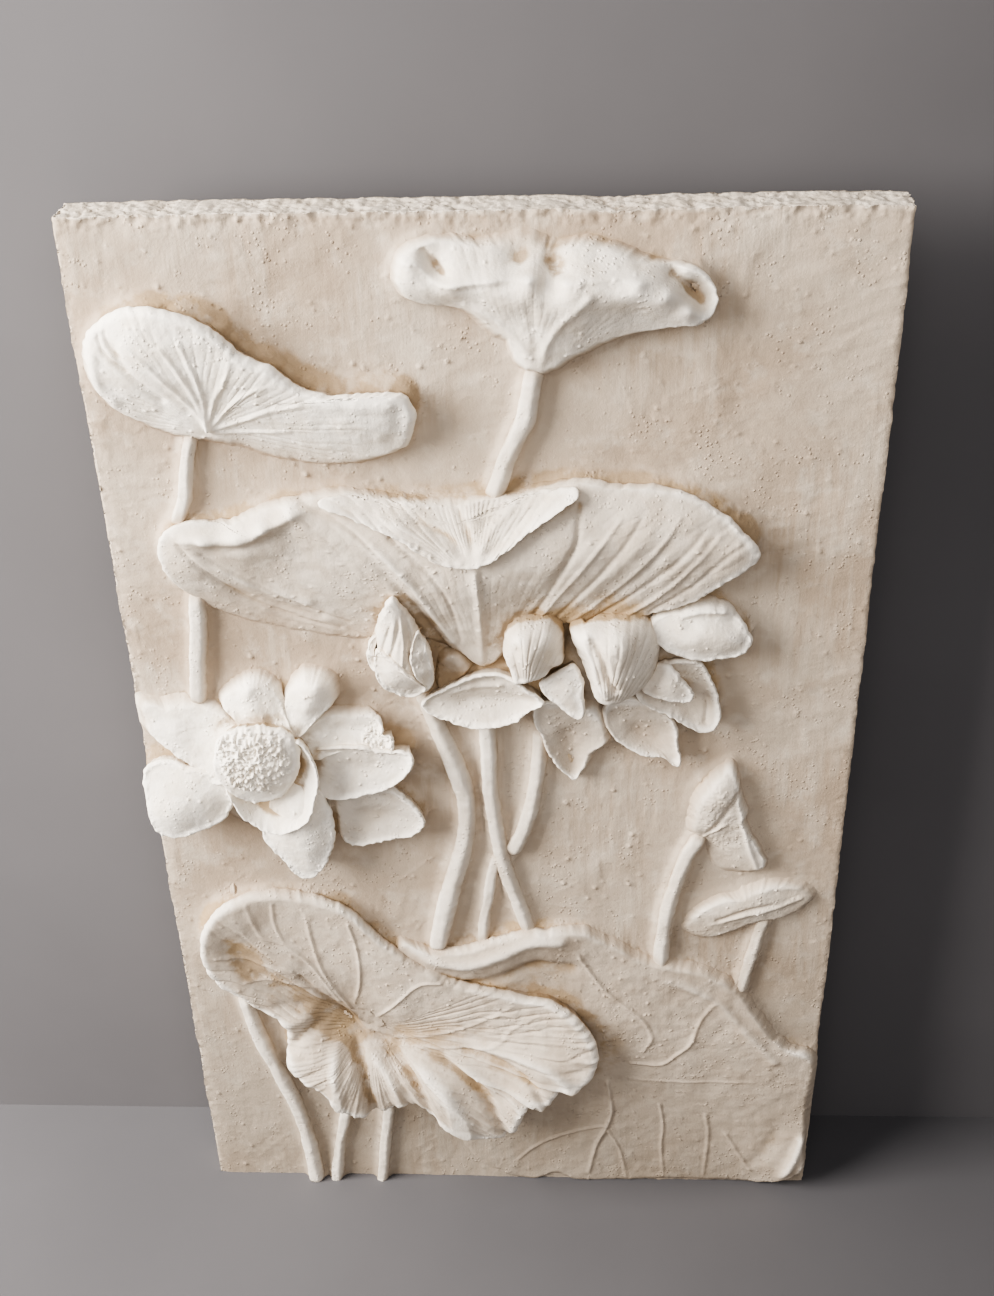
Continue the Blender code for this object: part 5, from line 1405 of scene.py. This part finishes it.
def stage_material(name, colour):
    """A plain painted surface, faintly uneven, darker away from the light."""
    paint = Paint(name)
    uneven = paint.node("TexNoise", {"Vector": paint.place, "Scale": 3.0, "Detail": 5.0}).outputs["Fac"]
    across = paint.node("SeparateXYZ", {"Vector": paint.place}).outputs["X"]
    fade = paint.mapped(across, -0.5, 0.8, 1.0, 0.72)
    shade = paint.maths("MULTIPLY", fade, paint.mapped(uneven, 0.3, 0.7, 0.93, 1.05, "LINEAR"))
    tint = paint.node("VectorMath", {0: colour, "Scale": shade}, operation="SCALE")
    return paint.finished({"Base Color": tint.outputs["Vector"], "Roughness": 0.85})


def backdrop():
    """The floor, and the wall that the panel leans against."""
    floor = -HALF_HIGH * MM
    wide, deep, high = STAGE_WIDE, STAGE_DEEP, STAGE_HIGH
    points = [(-wide, -deep, floor), (wide, -deep, floor), (wide, WALL_AT, floor), (-wide, WALL_AT, floor)]
    points += [(wide, WALL_AT, high), (-wide, WALL_AT, high)]
    mesh = bpy.data.meshes.new("backdrop")
    mesh.from_pydata(points, [], [(0, 1, 2, 3), (3, 2, 4, 5)])
    mesh.update()
    made = bpy.data.objects.new("backdrop", mesh)
    bpy.context.scene.collection.objects.link(made)
    made.data.materials.append(stage_material("floor_grey", FLOOR_COLOUR))
    made.data.materials.append(stage_material("wall_grey", WALL_COLOUR))
    mesh.polygons[1].material_index = 1


def area_light(name, place, size, power, colour):
    """A lamp with an even, rectangular face that points at the origin."""
    data = bpy.data.lights.new(name, "AREA")
    data.shape = "RECTANGLE"
    data.size, data.size_y = size
    data.energy = power
    data.color = colour
    made = bpy.data.objects.new(name, data)
    bpy.context.scene.collection.objects.link(made)
    away = np.array(place) / np.linalg.norm(place)
    right = np.cross((0.0, 0.0, 1.0), away)
    right /= np.linalg.norm(right)
    up = np.cross(away, right)
    turn = Matrix([[right[k], up[k], away[k], place[k]] for k in range(3)] + [[0, 0, 0, 1]])
    made.matrix_world = turn


def camera():
    """The photo's view: slightly from the right and from well above."""
    yaw, pitch, roll = map(math.radians, CAMERA_TURNS)
    ahead = np.array([math.sin(yaw) * math.cos(pitch), math.cos(yaw) * math.cos(pitch), -math.sin(pitch)])
    right = np.array([math.cos(yaw), -math.sin(yaw), 0.0])
    up = np.cross(right, ahead)
    side = math.cos(roll) * right + math.sin(roll) * up
    above = -math.sin(roll) * right + math.cos(roll) * up
    data = bpy.data.cameras.new("camera")
    data.sensor_width = SENSOR
    data.lens = FOCAL_SHARE * SENSOR
    data.clip_start = 0.05
    made = bpy.data.objects.new("camera", data)
    bpy.context.scene.collection.objects.link(made)
    rows = [[side[k], above[k], -ahead[k], CAMERA_AT[k]] for k in range(3)]
    made.matrix_world = Matrix(rows + [[0, 0, 0, 1]])
    bpy.context.scene.camera = made


camera()
backdrop()
for name, lamp in LAMPS.items():
    area_light(name, *lamp)
world = bpy.data.worlds.new("studio")
world.use_nodes = True
world.node_tree.nodes["Background"].inputs["Color"].default_value = SKY_COLOUR
world.node_tree.nodes["Background"].inputs["Strength"].default_value = SKY_STRENGTH
bpy.context.scene.world = world
bpy.context.scene.view_settings.look = "AgX - High Contrast"

finish_material = plaster("aged_plaster", 1.7)
pieces = [form_piece(name) for name in FORMS]
pieces += [stem_piece(name) for name in STEMS]
pieces += ground_tiles()
pieces.append(slab_sides())
thin_out(pieces)
for piece in pieces:
    add_patina_and_shade(piece)
    piece.data.materials.append(finish_material)
    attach(piece, "root")
    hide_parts("lotus_panel")
